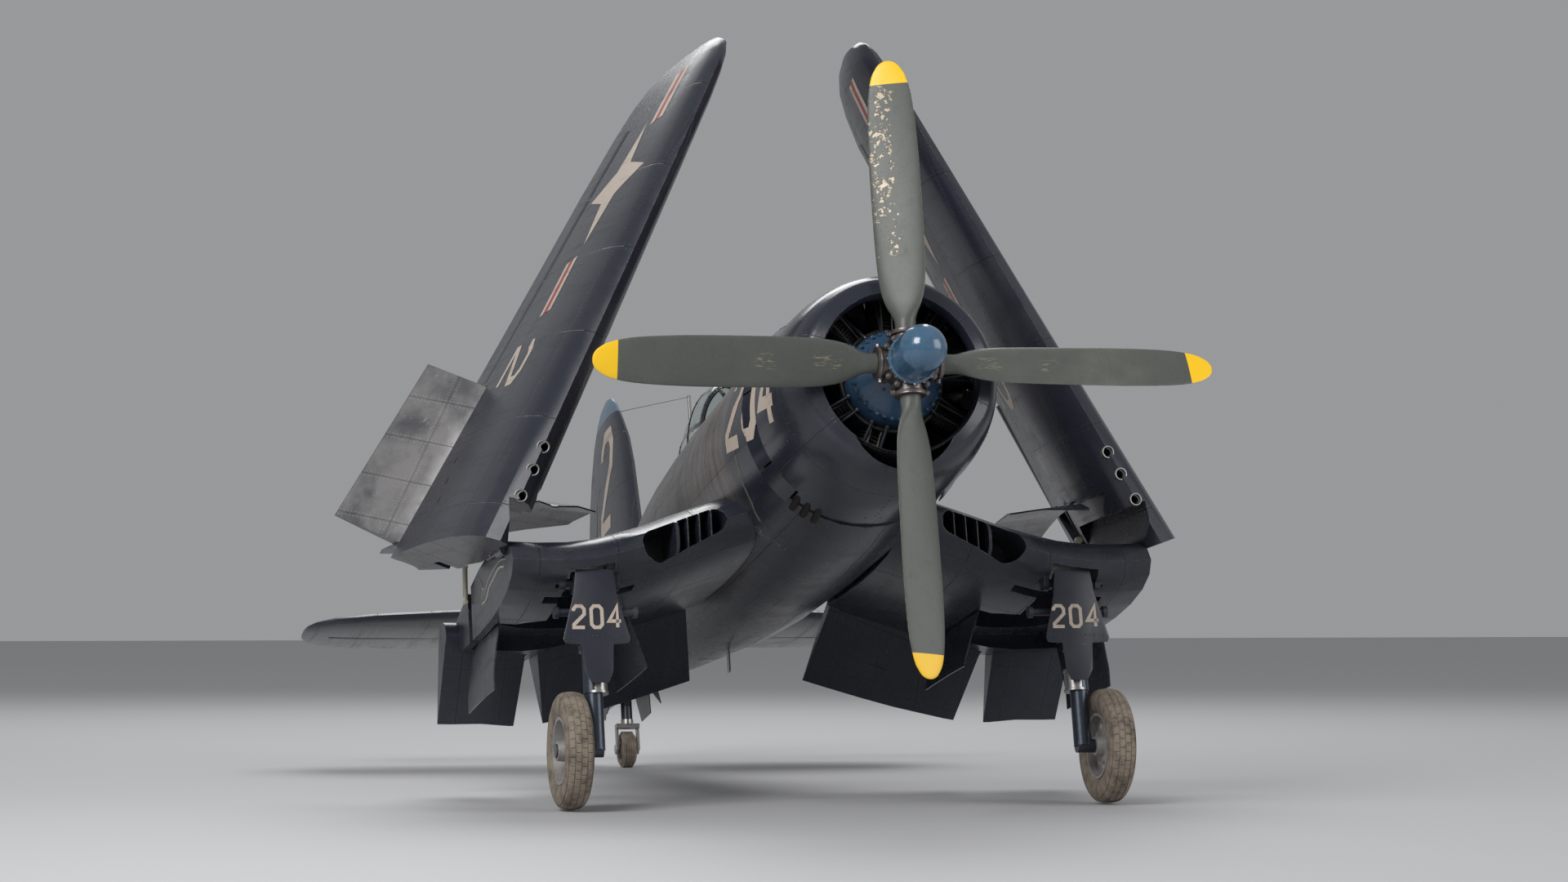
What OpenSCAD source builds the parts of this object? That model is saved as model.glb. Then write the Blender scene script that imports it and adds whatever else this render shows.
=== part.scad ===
// Radio-controlled naval fighter with a folding gull wing, standing on its wheels.
// Built about the thrust line: x to port, y aft of the propeller disc, z up.
// stand() then tilts it nose-up and sets it on the ground.

/* [Stance] */
// Nose-up angle of the thrust line on the ground, degrees
attitude = 13.5; // [12.5:0.1:14.5]
// How far each outer wing is folded up from the spread position, degrees
fold_angle = 109; // [95:1:109]
// How far the flaps hang down, degrees
flap_angle = 50; // [20:1:52]

/* [Nose] */
// Radius of the cowl at its widest
cowl_r = 147; // [144:0.5:150]
// Radius of the cowl mouth
mouth_r = 101; // [96:1:104]
// Length of the ring cowl
cowl_len = 170; // [160:1:180]
// Radius of the chin intake's bowl
chin_r = 70; // [66:1:72]
// Radius of the crankcase's front bowl
crankcase_r = 62; // [56:1:64]
// Cylinders in each row of the engine
cylinders_per_row = 9; // [7:2:9]

/* [Propeller] */
// Propeller diameter
prop_d = 803; // [760:1:830]
// Widest chord of a blade
blade_chord = 69; // [60:1:74]
// Radius of the hub dome
dome_r = 30.5; // [28:0.5:32]
// Diameter of the motor shaft
shaft_d = 16; // [12:1:20]
// Clearance round a turning shaft or pin
running = 0.06; // [0.03:0.01:0.1]

/* [Fuselage] */
// Thickness of the fuselage skin
skin = 2.5; // [2:0.1:3]
// Gap between pieces that seat against each other
seat = 0.3; // [0.2:0.05:0.4]
// Half width of the cockpit opening
cockpit_half = 46; // [42:1:48]

/* [Wing] */
// Distance aft to the leading edge of the centre wing
lead_edge = 374; // [370:1:378]
// Chord at the fold
fold_chord = 558; // [555:1:580]
// Distance from the centreline to the fold
fold_x = 437; // [434:1:440]
// Length of one outer wing from the fold to the tip
panel_len = 797; // [760:1:810]
// Chord where the tip starts to round off
tip_chord = 383; // [350:1:390]
// Radius of a gun port
port_r = 5.5; // [4:0.5:6.5]

/* [Main gear] */
// Distance from the centreline to a strut
strut_x = 331; // [328:1:334]
// Distance aft to the struts
strut_y = 409; // [407:0.5:411]
// Depth of the retraction axis under the thrust line
trunnion_drop = 182; // [180:0.5:183]
// Depth of the wheel axle under the thrust line
axle_drop = 404; // [400:1:408]
// Distance from the strut to the middle of the wheel
wheel_offset = 34; // [34:0.5:35]
// Radius of the main tyre
tyre_r = 77.5; // [74:0.5:78]
// Width of the main tyre
tyre_w = 38; // [34:0.5:38]
// Radius of the oleo cylinder
oleo_r = 12; // [10:0.5:13]
// Travel of the oleo
oleo_travel = 18; // [10:1:20]

/* [Tail] */
// Distance from the centreline to a stabilizer tip
stab_half = 508; // [490:1:515]
// Height of the fin tip over the thrust line
fin_top = 446; // [430:1:455]
// Radius of the tail wheel
tail_r = 29; // [26:0.5:31]
// Distance aft to the tail wheel's axle
tail_axle_y = 1700; // [1690:1:1710]

/* [Hidden] */
$fn = 48;
eps = 0.01;
far = 600;          // longer than anything that is cut

navy = [0.10, 0.12, 0.17];
steel = [0.62, 0.64, 0.66];
pale_blue = [0.35, 0.45, 0.55];

// ---- stance, worked out from the gear
hub_height = tyre_r + axle_drop * cos(attitude) + strut_y * sin(attitude);
tail_axle_z = (tail_r - hub_height + tail_axle_y * sin(attitude)) / cos(attitude);
centre_y = -910;    // puts the origin under the middle of the model's length

module stand() translate([0, centre_y, hub_height]) rotate([-attitude, 0, 0]) children();
module starboard() mirror([1, 0, 0]) children();

// ---- helpers
// closed solid through rings that all have the same number of points
module loft(rings) {
    n = len(rings[0]);
    m = len(rings);
    points = [for (r = rings) each r];
    sides = [for (j = [0:m - 2], i = [0:n - 1]) each [
        [j * n + i, (j + 1) * n + i, j * n + (i + 1) % n],
        [j * n + (i + 1) % n, (j + 1) * n + i, (j + 1) * n + (i + 1) % n]]];
    first = [for (i = [0:n - 1]) i];
    last = [for (i = [n - 1:-1:0]) (m - 1) * n + i];
    polyhedron(points, concat([first], sides, [last]));
}

// value from a table of [position, value...] rows at a position between its ends
function blend(table, at, col) = lookup(at, [for (row = table) [row[0], row[col]]]);

// half thickness of a unit-chord wing section, and its mean line
function half_thick(x) = 5 * (0.2969 * sqrt(x) - 0.1260 * x - 0.3516 * pow(x, 2)
    + 0.2843 * pow(x, 3) - 0.1036 * pow(x, 4));
function mean_line(x) = 0.085 * x * (1 - x) * (1 - 0.45 * x);

// wing section: leading edge, chord, thickness ratio and incidence; [aft, up] pairs
section_steps = 11;
function foil(aft, up, chord, thick, incidence) =
    let (n = section_steps,
         xs = concat([for (i = [0:n]) (1 - cos(180 * (1 - i / n))) / 2],
                     [for (i = [1:n - 1]) (1 - cos(180 * i / n)) / 2]),
         side = concat([for (i = [0:n]) 1], [for (i = [1:n - 1]) -1]))
    [for (i = [0:len(xs) - 1])
        let (x = xs[i] * chord,
             z = (side[i] * thick * half_thick(xs[i]) + mean_line(xs[i])) * chord)
        [aft + x * cos(incidence) + z * sin(incidence),
         up - x * sin(incidence) + z * cos(incidence)]];
function ring_at_x(x, outline) = [for (p = outline) [x, p[0], p[1]]];
function ring_at_z(z, outline) = [for (p = outline) [-p[1], p[0], z]];

// pin or tube along x, y or z, from a to b
module along_x(r, a, b) translate([a, 0, 0]) rotate([0, 90, 0]) cylinder(r=r, h=b - a);
module along_y(r, a, b) translate([0, a, 0]) rotate([-90, 0, 0]) cylinder(r=r, h=b - a);
module block(low, high) translate(low) cube(high - low);

// flat plate: outline in x and z, extruded aft from y
module plate_y(y, thick, outline)
    translate([0, y + thick, 0]) rotate([90, 0, 0]) linear_extrude(thick) polygon(outline);

// ---- fuselage form: aft, half width, top, bottom, height of the widest line
body_rows = [
    [236, 148, 148, -150, 0], [330, 150, 150, -157, 0], [470, 150, 151, -161, 0],
    [640, 148, 151, -160, 0], [800, 142, 150, -154, 2], [960, 132, 147, -142, 5],
    [1120, 115, 139, -124, 10], [1300, 94, 128, -103, 16], [1480, 71, 116, -80, 22],
    [1640, 49, 105, -56, 28], [1740, 32, 98, -42, 31], [1795, 21, 93, -32, 33],
    [1842, 10, 88, -24, 35]];
spine_rows = [[1012, 47, 186], [1120, 45, 177], [1260, 38, 160], [1400, 28, 141], [1500, 16, 122]];
body_sides = 28;

function body_ring(row, grow) = [for (i = [0:body_sides - 1])
    let (t = -360 * i / body_sides, mid = row[4],
         reach = sin(t) > 0 ? row[2] - mid : mid - row[3])
    [(row[1] + grow) * cos(t), row[0], mid + (reach + grow) * sin(t)]];
function spine_ring(row, grow) = [for (i = [0:15])
    let (t = -22.5 * i) [(row[1] + grow) * cos(t), row[0], 90 + (row[2] - 90 + grow) * sin(t)]];

module body_form(grow=0, rows=body_rows) loft([for (row = rows) body_ring(row, grow)]);
module spine_form(grow=0) loft([for (row = spine_rows) spine_ring(row, grow)]);

bulkhead = 6;
cockpit_front = 836;
cockpit_back = 1004;
bay_half = 22;
bay_front = 1592;
bay_back = 1740;
hook_y = 1752;
hook_z = -52;
hook_pin_r = 2.5;
elevator_y = 1790;
tail_z = 69;
torque_r = 3;
rail_x = 58.8;
canopy_sill = 137.6;

module fuselage() color(navy) difference() {
    union() {
        body_form();
        spine_form();
        for (side = [-1, 1]) {
            block([side * 6.5 - 1.5, hook_y - 6, hook_z - 5], [side * 6.5 + 1.5, hook_y + 6, -28]);
            block([side * (rail_x + 1) - 1, 866, 112], [side * (rail_x + 1) + 1, 1124, canopy_sill + 3]);
        }
    }
    body_form(-skin, [for (row = body_rows) if (row[0] > 300 && row[0] < 1800) row]);
    along_y(cowl_r - 15, 236 + bulkhead, 331);
    block([-cockpit_half, cockpit_front, 60], [cockpit_half, cockpit_back, 260]);
    block([-bay_half, bay_front, -100], [bay_half, bay_back, -5]);
    translate([0, hook_y, hook_z]) along_x(hook_pin_r + running, -9, 9);
    translate([0, elevator_y, tail_z]) along_x(torque_r + running, -60, 60);
    rudder_zone(rudder_nose, 0.8);
}

// ---- nose
cowl_front = 34;
cowl_back = cowl_front + cowl_len;
lip_r = mouth_r + 4;
chin_z = -54.3;
firewall_y = 236;

function cowl_outline() = [for (i = [0:10])
    let (t = i / 10) [lip_r + (cowl_r - lip_r) * sqrt(1 - pow(1 - t, 2)), cowl_front + 141 * pow(t, 1.3)]];

module revolve_y(outline) rotate([-90, 0, 0]) rotate_extrude($fn=96) polygon(outline);

module nose_cowl() color(navy) difference() {
    union() {
        revolve_y(concat(cowl_outline(), [
            [cowl_r, 235], [cowl_r - 3, 235], [cowl_r - 4, 140], [mouth_r + 31, 90],
            [mouth_r + 24, 78], [mouth_r + 8, 64], [mouth_r, 52], [mouth_r + 1, 41]]));
        intersection() {     // rim of the chin intake
            translate([0, 0, chin_z]) revolve_y([
                [chin_r - 4, 47], [chin_r + 1.5, 46.5], [chin_r + 3.5, 52], [chin_r + 5, 70],
                [chin_r + 5, 91], [chin_r - 4, 91]]);
            block([-90, 40, -140], [90, 130, chin_z - 32]);
        }
    }
    rotate([0, 130.5, 0]) rotate([-90, 0, 0]) rotate_extrude(angle=279)     // room for the cowl flaps
        polygon([[cowl_r - 20, cowl_back], [cowl_r + 20, cowl_back], [cowl_r + 20, 250], [cowl_r - 20, 250]]);
    difference() {
        translate([0, 0, chin_z]) along_y(chin_r, 30, 104);
        along_y(mouth_r + 4, 20, 120);
    }
}

flap_count = 14;
module cowl_flaps() color(navy) for (i = [0:flap_count - 1])
    rotate([0, 48 - (i + 1) * 276 / flap_count, 0]) rotate([-90, 0, 0]) rotate_extrude(angle=18.5)
        polygon([[cowl_r - 1.6, cowl_back + seat], [cowl_r, cowl_back + seat], [cowl_r + 6, 246],
                 [cowl_r + 4.2, 246]]);

shaft_r = shaft_d / 2;
case_back = firewall_y - seat;
module crankcase() color(pale_blue) union() {
    revolve_y([
        [shaft_r + running, 20], [24, 20], [30, 27], [38, 36], [crankcase_r - 12, 47],
        [crankcase_r - 4, 55], [crankcase_r, 66], [crankcase_r, case_back], [crankcase_r - 5, case_back],
        [crankcase_r - 5, 74], [crankcase_r - 12, 64], [30, 60], [shaft_r + running, 60]]);
    for (side = [-1, 1])     // magnetos and governor
        translate([side * 30, 0, 28]) along_y(9, 34, 62);
    translate([0, 0, 40]) along_y(8, 30, 60);
    for (i = [0:17]) rotate([0, 10 + 20 * i, 0]) translate([crankcase_r - 5, 0, 0]) along_y(2, 50, 62);
}

row_y = [111, 160];
barrel_r = 14;
fin_r = 18.5;
module engine_cylinder() {
    rotate_extrude($fn=24) polygon(concat(
        [[0, 0], [barrel_r, 0]],
        [for (i = [0:7]) each [[barrel_r, 5 + i * 4.6], [fin_r, 5 + i * 4.6], [fin_r, 6.6 + i * 4.6],
                               [barrel_r, 6.6 + i * 4.6]]],
        [[barrel_r, 44], [fin_r - 1, 46], [fin_r - 1, 56], [12, 61], [0, 61]]));
    for (side = [-1, 1]) translate([side * 9, 0, 46]) rotate([0, side * 18, 0]) cylinder(r=5, h=14, $fn=20);
}
module engine_cylinders() color([0.16, 0.16, 0.17]) for (row = [0, 1], i = [0:cylinders_per_row - 1])
    rotate([0, (i + row / 2) * 360 / cylinders_per_row, 0]) translate([0, row_y[row], crankcase_r + seat])
        engine_cylinder();

module ignition_harness() color([0.5, 0.45, 0.35]) {
    rotate([-90, 0, 0]) translate([0, 0, 78]) rotate_extrude() translate([crankcase_r + 3.3, 0]) circle(r=3, $fn=16);
    for (i = [0:cylinders_per_row - 1], side = [-1, 1]) rotate([0, i * 360 / cylinders_per_row, 0])
        translate([side * 7, 80, crankcase_r + 3.3]) cylinder(r=1.6, h=50, $fn=16);
}

motor_front = 140;
module drive_motor() color([0.2, 0.2, 0.22]) difference() {
    union() {
        along_y(40, motor_front, 196);
        along_y(22, 196, 206);
        for (i = [0:3]) rotate([0, 45 + 90 * i, 0]) {
            translate([0, 196, -6]) cube([36, 6, 12]);
            translate([30, 0, 0]) along_y(5, 196, firewall_y);
        }
    }
    along_y(shaft_r + running, 130, 170);
}

module battery_pack() color([0.1, 0.25, 0.5]) translate([-32, firewall_y + 96, -60]) cube([64, 150, 48]);
module radio_tray() color([0.75, 0.65, 0.45]) intersection() {
    block([-far, firewall_y + 96, -67], [far, firewall_y + 426, -60.3]);
    body_form(-skin);
}

// ---- propeller
prop_r = prop_d / 2;
socket_end = 42;
module propeller_hub() color([0.45, 0.36, 0.3]) union() {
    revolve_y([[0, -20], [29, -20], [31, -15], [31, 14], [25, 19.5], [0, 19.5]]);
    along_y(shaft_r, 0, 165);
    for (i = [0:3]) rotate([0, 90 * i, 0]) {
        cylinder(r=17, h=socket_end);
        translate([0, 0, socket_end - 5]) cylinder(r=20, h=5);
        for (side = [-1, 1]) translate([side * 19, 0, 29]) rotate([90, 0, 0]) cylinder(r=4, h=22, center=true, $fn=20);
    }
}

// radius, chord, thickness, pitch of the blade's sections
blade_rows = [
    [socket_end + seat, 27, 27, 54], [72, 28, 25, 53], [95, 42, 17, 50], [125, 58, 12, 46],
    [165, blade_chord - 3, 9, 42], [220, blade_chord, 7, 37], [290, blade_chord - 2, 5.6, 30],
    [prop_r - 56, blade_chord - 9, 4.6, 25], [prop_r - 21, blade_chord - 24, 3.8, 22],
    [prop_r - 6, blade_chord - 42, 3, 21], [prop_r, 9, 2, 20]];
function blade_ring(row) = [for (i = [0:13])
    let (t = 360 * i / 14, u = row[1] / 2 * cos(t), v = row[2] / 2 * sin(t))
    [u * cos(row[3]) - v * sin(row[3]), u * sin(row[3]) + v * cos(row[3]), row[0]]];
module propeller_blades() color([0.4, 0.42, 0.4]) for (i = [0:3]) rotate([0, 90 * i, 0])
    loft([for (row = blade_rows) blade_ring(row)]);

dome_len = 46;
module propeller_dome() color(pale_blue) revolve_y(concat(
    [[0, -20 - seat], [dome_r + 1.5, -20 - seat], [dome_r + 1.5, -24], [dome_r, -26]],
    [for (i = [0:8]) [dome_r * cos(90 * i / 8), -20 - dome_len - dome_r * sin(90 * i / 8)]]));

// ---- wing forms
incidence = 2;
root_z = -157;
// x, height of the leading edge, chord, thickness ratio of the centre wing
gull_rows = [
    [96, -86, 582, 0.168], [150, -103, 580, 0.168], [200, -120, 577, 0.168], [245, -136, 573, 0.168],
    [285, -147, 569, 0.168], [320, -155, 566, 0.167], [355, -159, 563, 0.166], [395, -159, fold_chord, 0.164],
    [fold_x, root_z, fold_chord, 0.162], [fold_x + 30, root_z + 3, fold_chord, 0.16]];
module centre_form() loft([for (row = gull_rows)
    ring_at_x(row[0], foil(lead_edge, row[1], row[2], row[3], incidence))]);

fold_y = 399;
fold_z = -137;
fold_pitch = 7;
fold_gap = 0.6;
dihedral = 8.5;
// distance outboard of the fold, leading edge aft of the root's, chord, thickness ratio, incidence
panel_rows = [
    [-28, -2, fold_chord + 4, 0.162, 2], [0, 0, fold_chord, 0.162, 2], [200, 26, 508, 0.152, 1.5],
    [400, 52, 458, 0.14, 1], [600, 78, 408, 0.126, 0.5], [panel_len - 100, 91, tip_chord, 0.116, 0],
    [panel_len - 55, 100, tip_chord - 33, 0.11, 0], [panel_len - 26, 112, tip_chord - 78, 0.105, 0],
    [panel_len - 9, 128, tip_chord - 140, 0.1, 0], [panel_len, 154, tip_chord - 225, 0.1, 0]];
module panel_form() loft([for (row = panel_rows)
    ring_at_x(fold_x + row[0], foil(lead_edge + row[1], root_z + row[0] * tan(dihedral), row[2], row[3],
        row[4]))]);

fold_point = [fold_x, fold_y, fold_z];
module at_fold() translate(fold_point) rotate([fold_pitch, 0, 0]) children();
module about_fold(angle) at_fold() rotate([0, angle, 0]) rotate([-fold_pitch, 0, 0])
    translate(-fold_point) children();
module folded() about_fold(-fold_angle) children();

// ---- surfaces hinged along a line from p to q
function bearing(p, q) = atan2(q[1] - p[1], q[0] - p[0]);
function slope(p, q) = atan2(q[2] - p[2], norm([q[0] - p[0], q[1] - p[1]]));
module along(p, q) translate(p) rotate([0, -slope(p, q), bearing(p, q)]) children();
module swung(p, q, angle) along(p, q) rotate([angle, 0, 0]) rotate([0, slope(p, q), 0])
    rotate([0, 0, -bearing(p, q)]) translate(-p) children();
// the space of a surface: round nose about the hinge and all that lies aft of it
module surface_zone(p, q, nose, gap) along(p, q) {
    along_x(nose + gap, -gap, norm(q - p) + gap);
    block([-gap, 0, -90], [norm(q - p) + gap, 260, 90]);
}

// height of a wing's skin: side 1 is the top, -1 the bottom, 0 the mean line
function skin_z(rows, x, y, side, nose_y) =
    let (chord = blend(rows, x, 2), f = (y - nose_y) / chord)
    blend(rows, x, 1) - (y - nose_y) * sin(incidence)
        + (side * blend(rows, x, 3) * half_thick(f) + mean_line(f)) * chord;
function panel_at(s, col) = lookup(s, [for (row = panel_rows) [row[0], row[col]]]);
function panel_skin(s, f, side) = let (chord = panel_at(s, 2))
    [fold_x + s, lead_edge + panel_at(s, 1) + f * chord,
     root_z + s * tan(dihedral) - f * chord * sin(panel_at(s, 4))
        + (side * panel_at(s, 3) * half_thick(f) + mean_line(f)) * chord];

flap_f = 0.77;       // hinge lines as a fraction of the chord
aileron_f = 0.79;
gull_x = 337;        // where the gull's bend parts the inboard and mid flaps
inboard_x = 112;
function gull_hinge(x) = let (chord = blend(gull_rows, x, 2), y = lead_edge + flap_f * chord)
    [x, y, skin_z(gull_rows, x, y, 0, lead_edge)];
function outward(p, q, x) = p + (q - p) * (x - p[0]) / (q[0] - p[0]);
inboard_p = gull_hinge(inboard_x);
inboard_q = outward(inboard_p, gull_hinge(gull_x - 40), gull_x - 8);
mid_end = fold_x + 19;
mid_p = gull_hinge(gull_x + 4);
mid_q = outward(mid_p, gull_hinge(fold_x), mid_end);
outer_p = panel_skin(24, flap_f, 0);
outer_q = panel_skin(272, flap_f, 0);
aileron_p = panel_skin(281, aileron_f, 0);
aileron_q = panel_skin(panel_len - 108, aileron_f - 0.035, 0);
gull_nose = 23.5;
outer_nose = 21.5;
aileron_nose = 17;
surface_gap = 0.8;
knuckle_r = 2;

// what a form holds of a hinged surface, and the pins at its ends
module hinged_part(p, q, nose) intersection() {
    children();
    surface_zone(p, q, nose, 0);
}
module pin_on(p, q, r, grow) along(p, q) for (end = [[-4, 8], [norm(q - p) - 8, norm(q - p) + 4]])
    along_x(r, end[0] - grow, end[1] + grow);

// what a lowered flap sweeps of the wing it hangs from
module cove(p, q, nose) {
    surface_zone(p, q, nose, surface_gap);
    along(p, q) block([-surface_gap, -0.9 * nose, -90], [norm(q - p) + surface_gap, 1, -0.45 * nose]);
}

module inboard_flap() color(navy) swung(inboard_p, inboard_q, -flap_angle) {
    difference() {
        hinged_part(inboard_p, inboard_q, gull_nose) centre_form();
        block([186, 896, -260], [214, 922, -100]);     // step
        for (lift = [0, flap_angle / 2, flap_angle]) swung(inboard_p, inboard_q, lift)
            body_form(2, [for (row = body_rows) if (row[0] > 600 && row[0] < 1200) row]);
    }
    pin_on(inboard_p, inboard_q, knuckle_r, 0);
}
module mid_flap() color(navy) swung(mid_p, mid_q, -flap_angle) {
    intersection() {
        hinged_part(mid_p, mid_q, gull_nose) centre_form();
        block([gull_x + 1, 700, -300], [mid_end, 1000, 0]);
    }
}

// ---- centre wing
intake_in = [165, -103, 17];     // x, z and radius of the slot's ends
intake_out = [240, -135, 22];
intake_back = 468;
module intake_slot() {
    for (e = [intake_in, intake_out]) translate([e[0], 0, e[1]]) along_y(e[2], 300, intake_back);
    run = [intake_out[0] - intake_in[0], intake_out[1] - intake_in[1]];
    side = [-run[1], run[0]] / norm(run);
    a = [intake_in[0], intake_in[1]];
    b = [intake_out[0], intake_out[1]];
    plate_y(300, intake_back - 300, [a + side * intake_in[2], a - side * intake_in[2],
        b - side * intake_out[2], b + side * intake_out[2]]);
}

trunnion_r = 6;
trunnion_z = -trunnion_drop;
axle_z = -axle_drop;
leg_len = axle_drop - trunnion_drop;
wheel_y = strut_y + leg_len;         // wheel's middle when it is retracted
well_x = strut_x + 2;
well_r = tyre_r + 6.5;
well_top = -127.5;
slot_half = 32;
door_front = 562;
door_back = 750;
door_outer_x = 424;
door_inner_x = 247;
horn_w = 8;

module wheel_well() {
    for (y = [wheel_y, wheel_y - oleo_travel]) translate([well_x, y, -260]) cylinder(r=well_r, h=260 + well_top, $fn=96);
    block([door_inner_x + 2, door_front - 1, -260], [door_outer_x - 4, door_back + 1, -172]);
    block([door_outer_x - 5, door_front - 1, -260], [door_outer_x + 1.6, door_back + 1, -188]);
    block([door_inner_x - 2.4, door_front - 1, -260], [door_inner_x + 4.4, door_back + 1, -168]);
    block([strut_x - slot_half, strut_y - 29, -260], [strut_x + slot_half, wheel_y, -161]);
    block([strut_x - 69, strut_y + 28, -260], [strut_x + 53, strut_y + 50, -170]);
}

lug_from = 20;       // fold lugs, measured along the fold axis
lug_w = 10;
pin_from = 30.5;
pin_w = 19;
module fold_tube(r, from, to) at_fold() along_y(r, from, to);

module centre_wing() difference() {
    union() {
        intersection() {
            centre_form();
            block([80, 300, -400], [fold_x - fold_gap, 1000, 0]);
        }
        for (x = [strut_x - slot_half - horn_w, strut_x + slot_half]) {
            translate([0, strut_y, trunnion_z]) along_x(trunnion_r + 4, x, x + horn_w);
            block([x, strut_y - 10, trunnion_z], [x + horn_w, strut_y + 10, trunnion_z + 12]);
        }
        fold_tube(7, lug_from, lug_from + lug_w);
        fold_tube(7, lug_from + lug_w + pin_w + 1, lug_from + 2 * lug_w + pin_w + 1);
    }
    body_form(seat);
    difference() {
        intake_slot();
        for (x = [166, 182, 198]) block([x, 386, -200], [x + 1.6, intake_back, -60]);
        block([212, 380, -200], [216, intake_back, -60]);
    }
    wheel_well();
    translate([0, strut_y, trunnion_z]) along_x(trunnion_r + running, strut_x - slot_half - 12, strut_x + slot_half + 12);
    fold_tube(fold_pin_r + running, lug_from - 3, lug_from + 2 * lug_w + pin_w + 4);
    fold_tube(8, pin_from - 0.5, pin_from + pin_w + 0.5);
    cove(inboard_p, inboard_q, gull_nose);
    cove(mid_p, mid_q, gull_nose);
    block([gull_x - 8, flap_cut_y, -300], [gull_x + 9, 1000, 0]);
    block([0, flap_cut_y - 30, -300], [inboard_x + 6, 1000, 0]);
    block([fold_x - 12, flap_cut_y, -300], [fold_x + 40, 1000, 0]);
    pin_on(inboard_p, inboard_q, knuckle_r + running, 0.5);
    block([fold_x - 12, strut_arm_y - 13, -400], [fold_x + 40, strut_arm_y + 13, 0]);
}
flap_cut_y = 816;
fold_pin_r = 3;
module centre_wing_left() color(navy) centre_wing();
module centre_wing_right() color(navy) starboard() centre_wing();
module inboard_flap_left() inboard_flap();
module inboard_flap_right() starboard() inboard_flap();
module mid_flap_left() mid_flap();
module mid_flap_right() starboard() mid_flap();

// ---- outer wing
relief = [[-5, -3], [62, -21], [62, 90], [-5, 90]];     // bay that clears the stub as the wing folds
bay_from = -22;
bay_to = 236;
door_len = 92;
door_skin = 2.2;
door_mid_y = 575;
door_hinge = [fold_x + 1 + door_len, 0, panel_skin(93, 0.32, 1)[2] + 1];
knuckle_from = 548;
knuckle_to = 602;
knuckle_w = 10;
module door_tube(r, from, to) translate(door_hinge) along_y(r, from, to);
module fold_bay() at_fold() translate([0, bay_to, 0]) rotate([90, 0, 0]) linear_extrude(bay_to - bay_from)
    polygon(relief);
module door_zone(gap) translate([fold_x + 1, 0, -150]) linear_extrude(200) polygon([
    [-gap, door_mid_y - 58 - gap], [door_len + gap, door_mid_y - 158 - gap],
    [door_len + gap, door_mid_y + 190 + gap], [-gap, door_mid_y + 60 + gap]]);
strut_arm_y = 691;
strut_arm_z = -140;
strut_arm_len = 88;

module outer_wing() difference() {
    union() {
        intersection() {
            panel_form();
            block([fold_x + fold_gap, 300, -400], [2 * fold_x + panel_len, 1000, 300]);
        }
        fold_tube(7, pin_from, pin_from + pin_w);
        door_tube(4, knuckle_from - knuckle_w, knuckle_from - 0.3);
        door_tube(4, knuckle_to + 0.3, knuckle_to + knuckle_w);
    }
    door_tube(knuckle_r + running, knuckle_from - knuckle_w - 1, knuckle_to + knuckle_w + 1);
    door_tube(4.6, knuckle_from, knuckle_to);
    difference() {
        fold_bay();
        fold_tube(7, pin_from, pin_from + pin_w);
    }
    difference() {
        for (shift = [-4, -2, 0]) translate([shift, 0, 0]) door_zone(0.8);     // slanted ends move inboard
        translate([0, 0, -door_skin - 8]) panel_form();
    }
    fold_tube(8, lug_from - 0.5, pin_from - 0.2);
    fold_tube(8, pin_from + pin_w + 0.2, pin_from + pin_w + 11);
    for (s = [68, 107, 141])
        translate([fold_x + s, 0, root_z + s * tan(dihedral) + 3]) along_y(port_r, 330, 430);
    cove(outer_p, outer_q, outer_nose);
    cove(mid_p, mid_q, gull_nose);
    block([fold_x - 5, flap_cut_y, -300], [fold_x + 26, 1000, 0]);
    surface_zone(aileron_p, aileron_q, aileron_nose, surface_gap);
    block([fold_x - 5, strut_arm_y - 13, strut_arm_z - 9], [fold_x + strut_arm_len + 14, strut_arm_y + 13, 0]);
    pin_on(outer_p, outer_q, knuckle_r + running, 0.5);
    pin_on(aileron_p, aileron_q, knuckle_r + running, 0.5);
}
module outer_wing_left() color(navy) folded() {
    difference() {
        union() {
            outer_wing();
            fold_tube(fold_pin_r, lug_from, lug_from + 2 * lug_w + pin_w + 1);
        }
    }
    translate([fold_x + 690, 0, root_z + 690 * tan(dihedral) + 2]) {     // pitot tube
        along_y(2.4, 430, 475);
        along_y(1.5, 405, 431);
    }
}
module outer_wing_right() color(navy) starboard() folded() {
    outer_wing();
    fold_tube(fold_pin_r, lug_from, lug_from + 2 * lug_w + pin_w + 1);
}

module fold_door() color(navy) folded() about_door(fold_angle) shut_fold_door();
module shut_fold_door() {
    difference() {
        intersection() {
            difference() {
                panel_form();
                translate([0, 0, -door_skin]) panel_form();
            }
            door_zone(0);
            block([fold_x, door_mid_y - 150, -200], [far, door_mid_y + 182, 0]);     // blunt corners
        }
        door_tube(4.6, knuckle_from - knuckle_w - 0.5, knuckle_from);
        door_tube(4.6, knuckle_to, knuckle_to + knuckle_w + 0.5);
    }
    door_tube(4, knuckle_from + 0.3, knuckle_to - 0.3);
    door_tube(knuckle_r, knuckle_from - knuckle_w, knuckle_to + knuckle_w);
}
module about_door(angle) translate(door_hinge) rotate([0, angle, 0]) translate(-door_hinge) children();
module fold_door_left() fold_door();
module fold_door_right() starboard() fold_door();

module outer_flap() color(steel) folded() swung(outer_p, outer_q, -flap_angle) {
    hinged_part(outer_p, outer_q, outer_nose) panel_form();
    pin_on(outer_p, outer_q, knuckle_r, 0);
}
module outer_flap_left() outer_flap();
module outer_flap_right() starboard() outer_flap();
module aileron() color(navy) folded() {
    hinged_part(aileron_p, aileron_q, aileron_nose) panel_form();
    pin_on(aileron_p, aileron_q, knuckle_r, 0);
}
module aileron_left() aileron();
module aileron_right() starboard() aileron();

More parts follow.
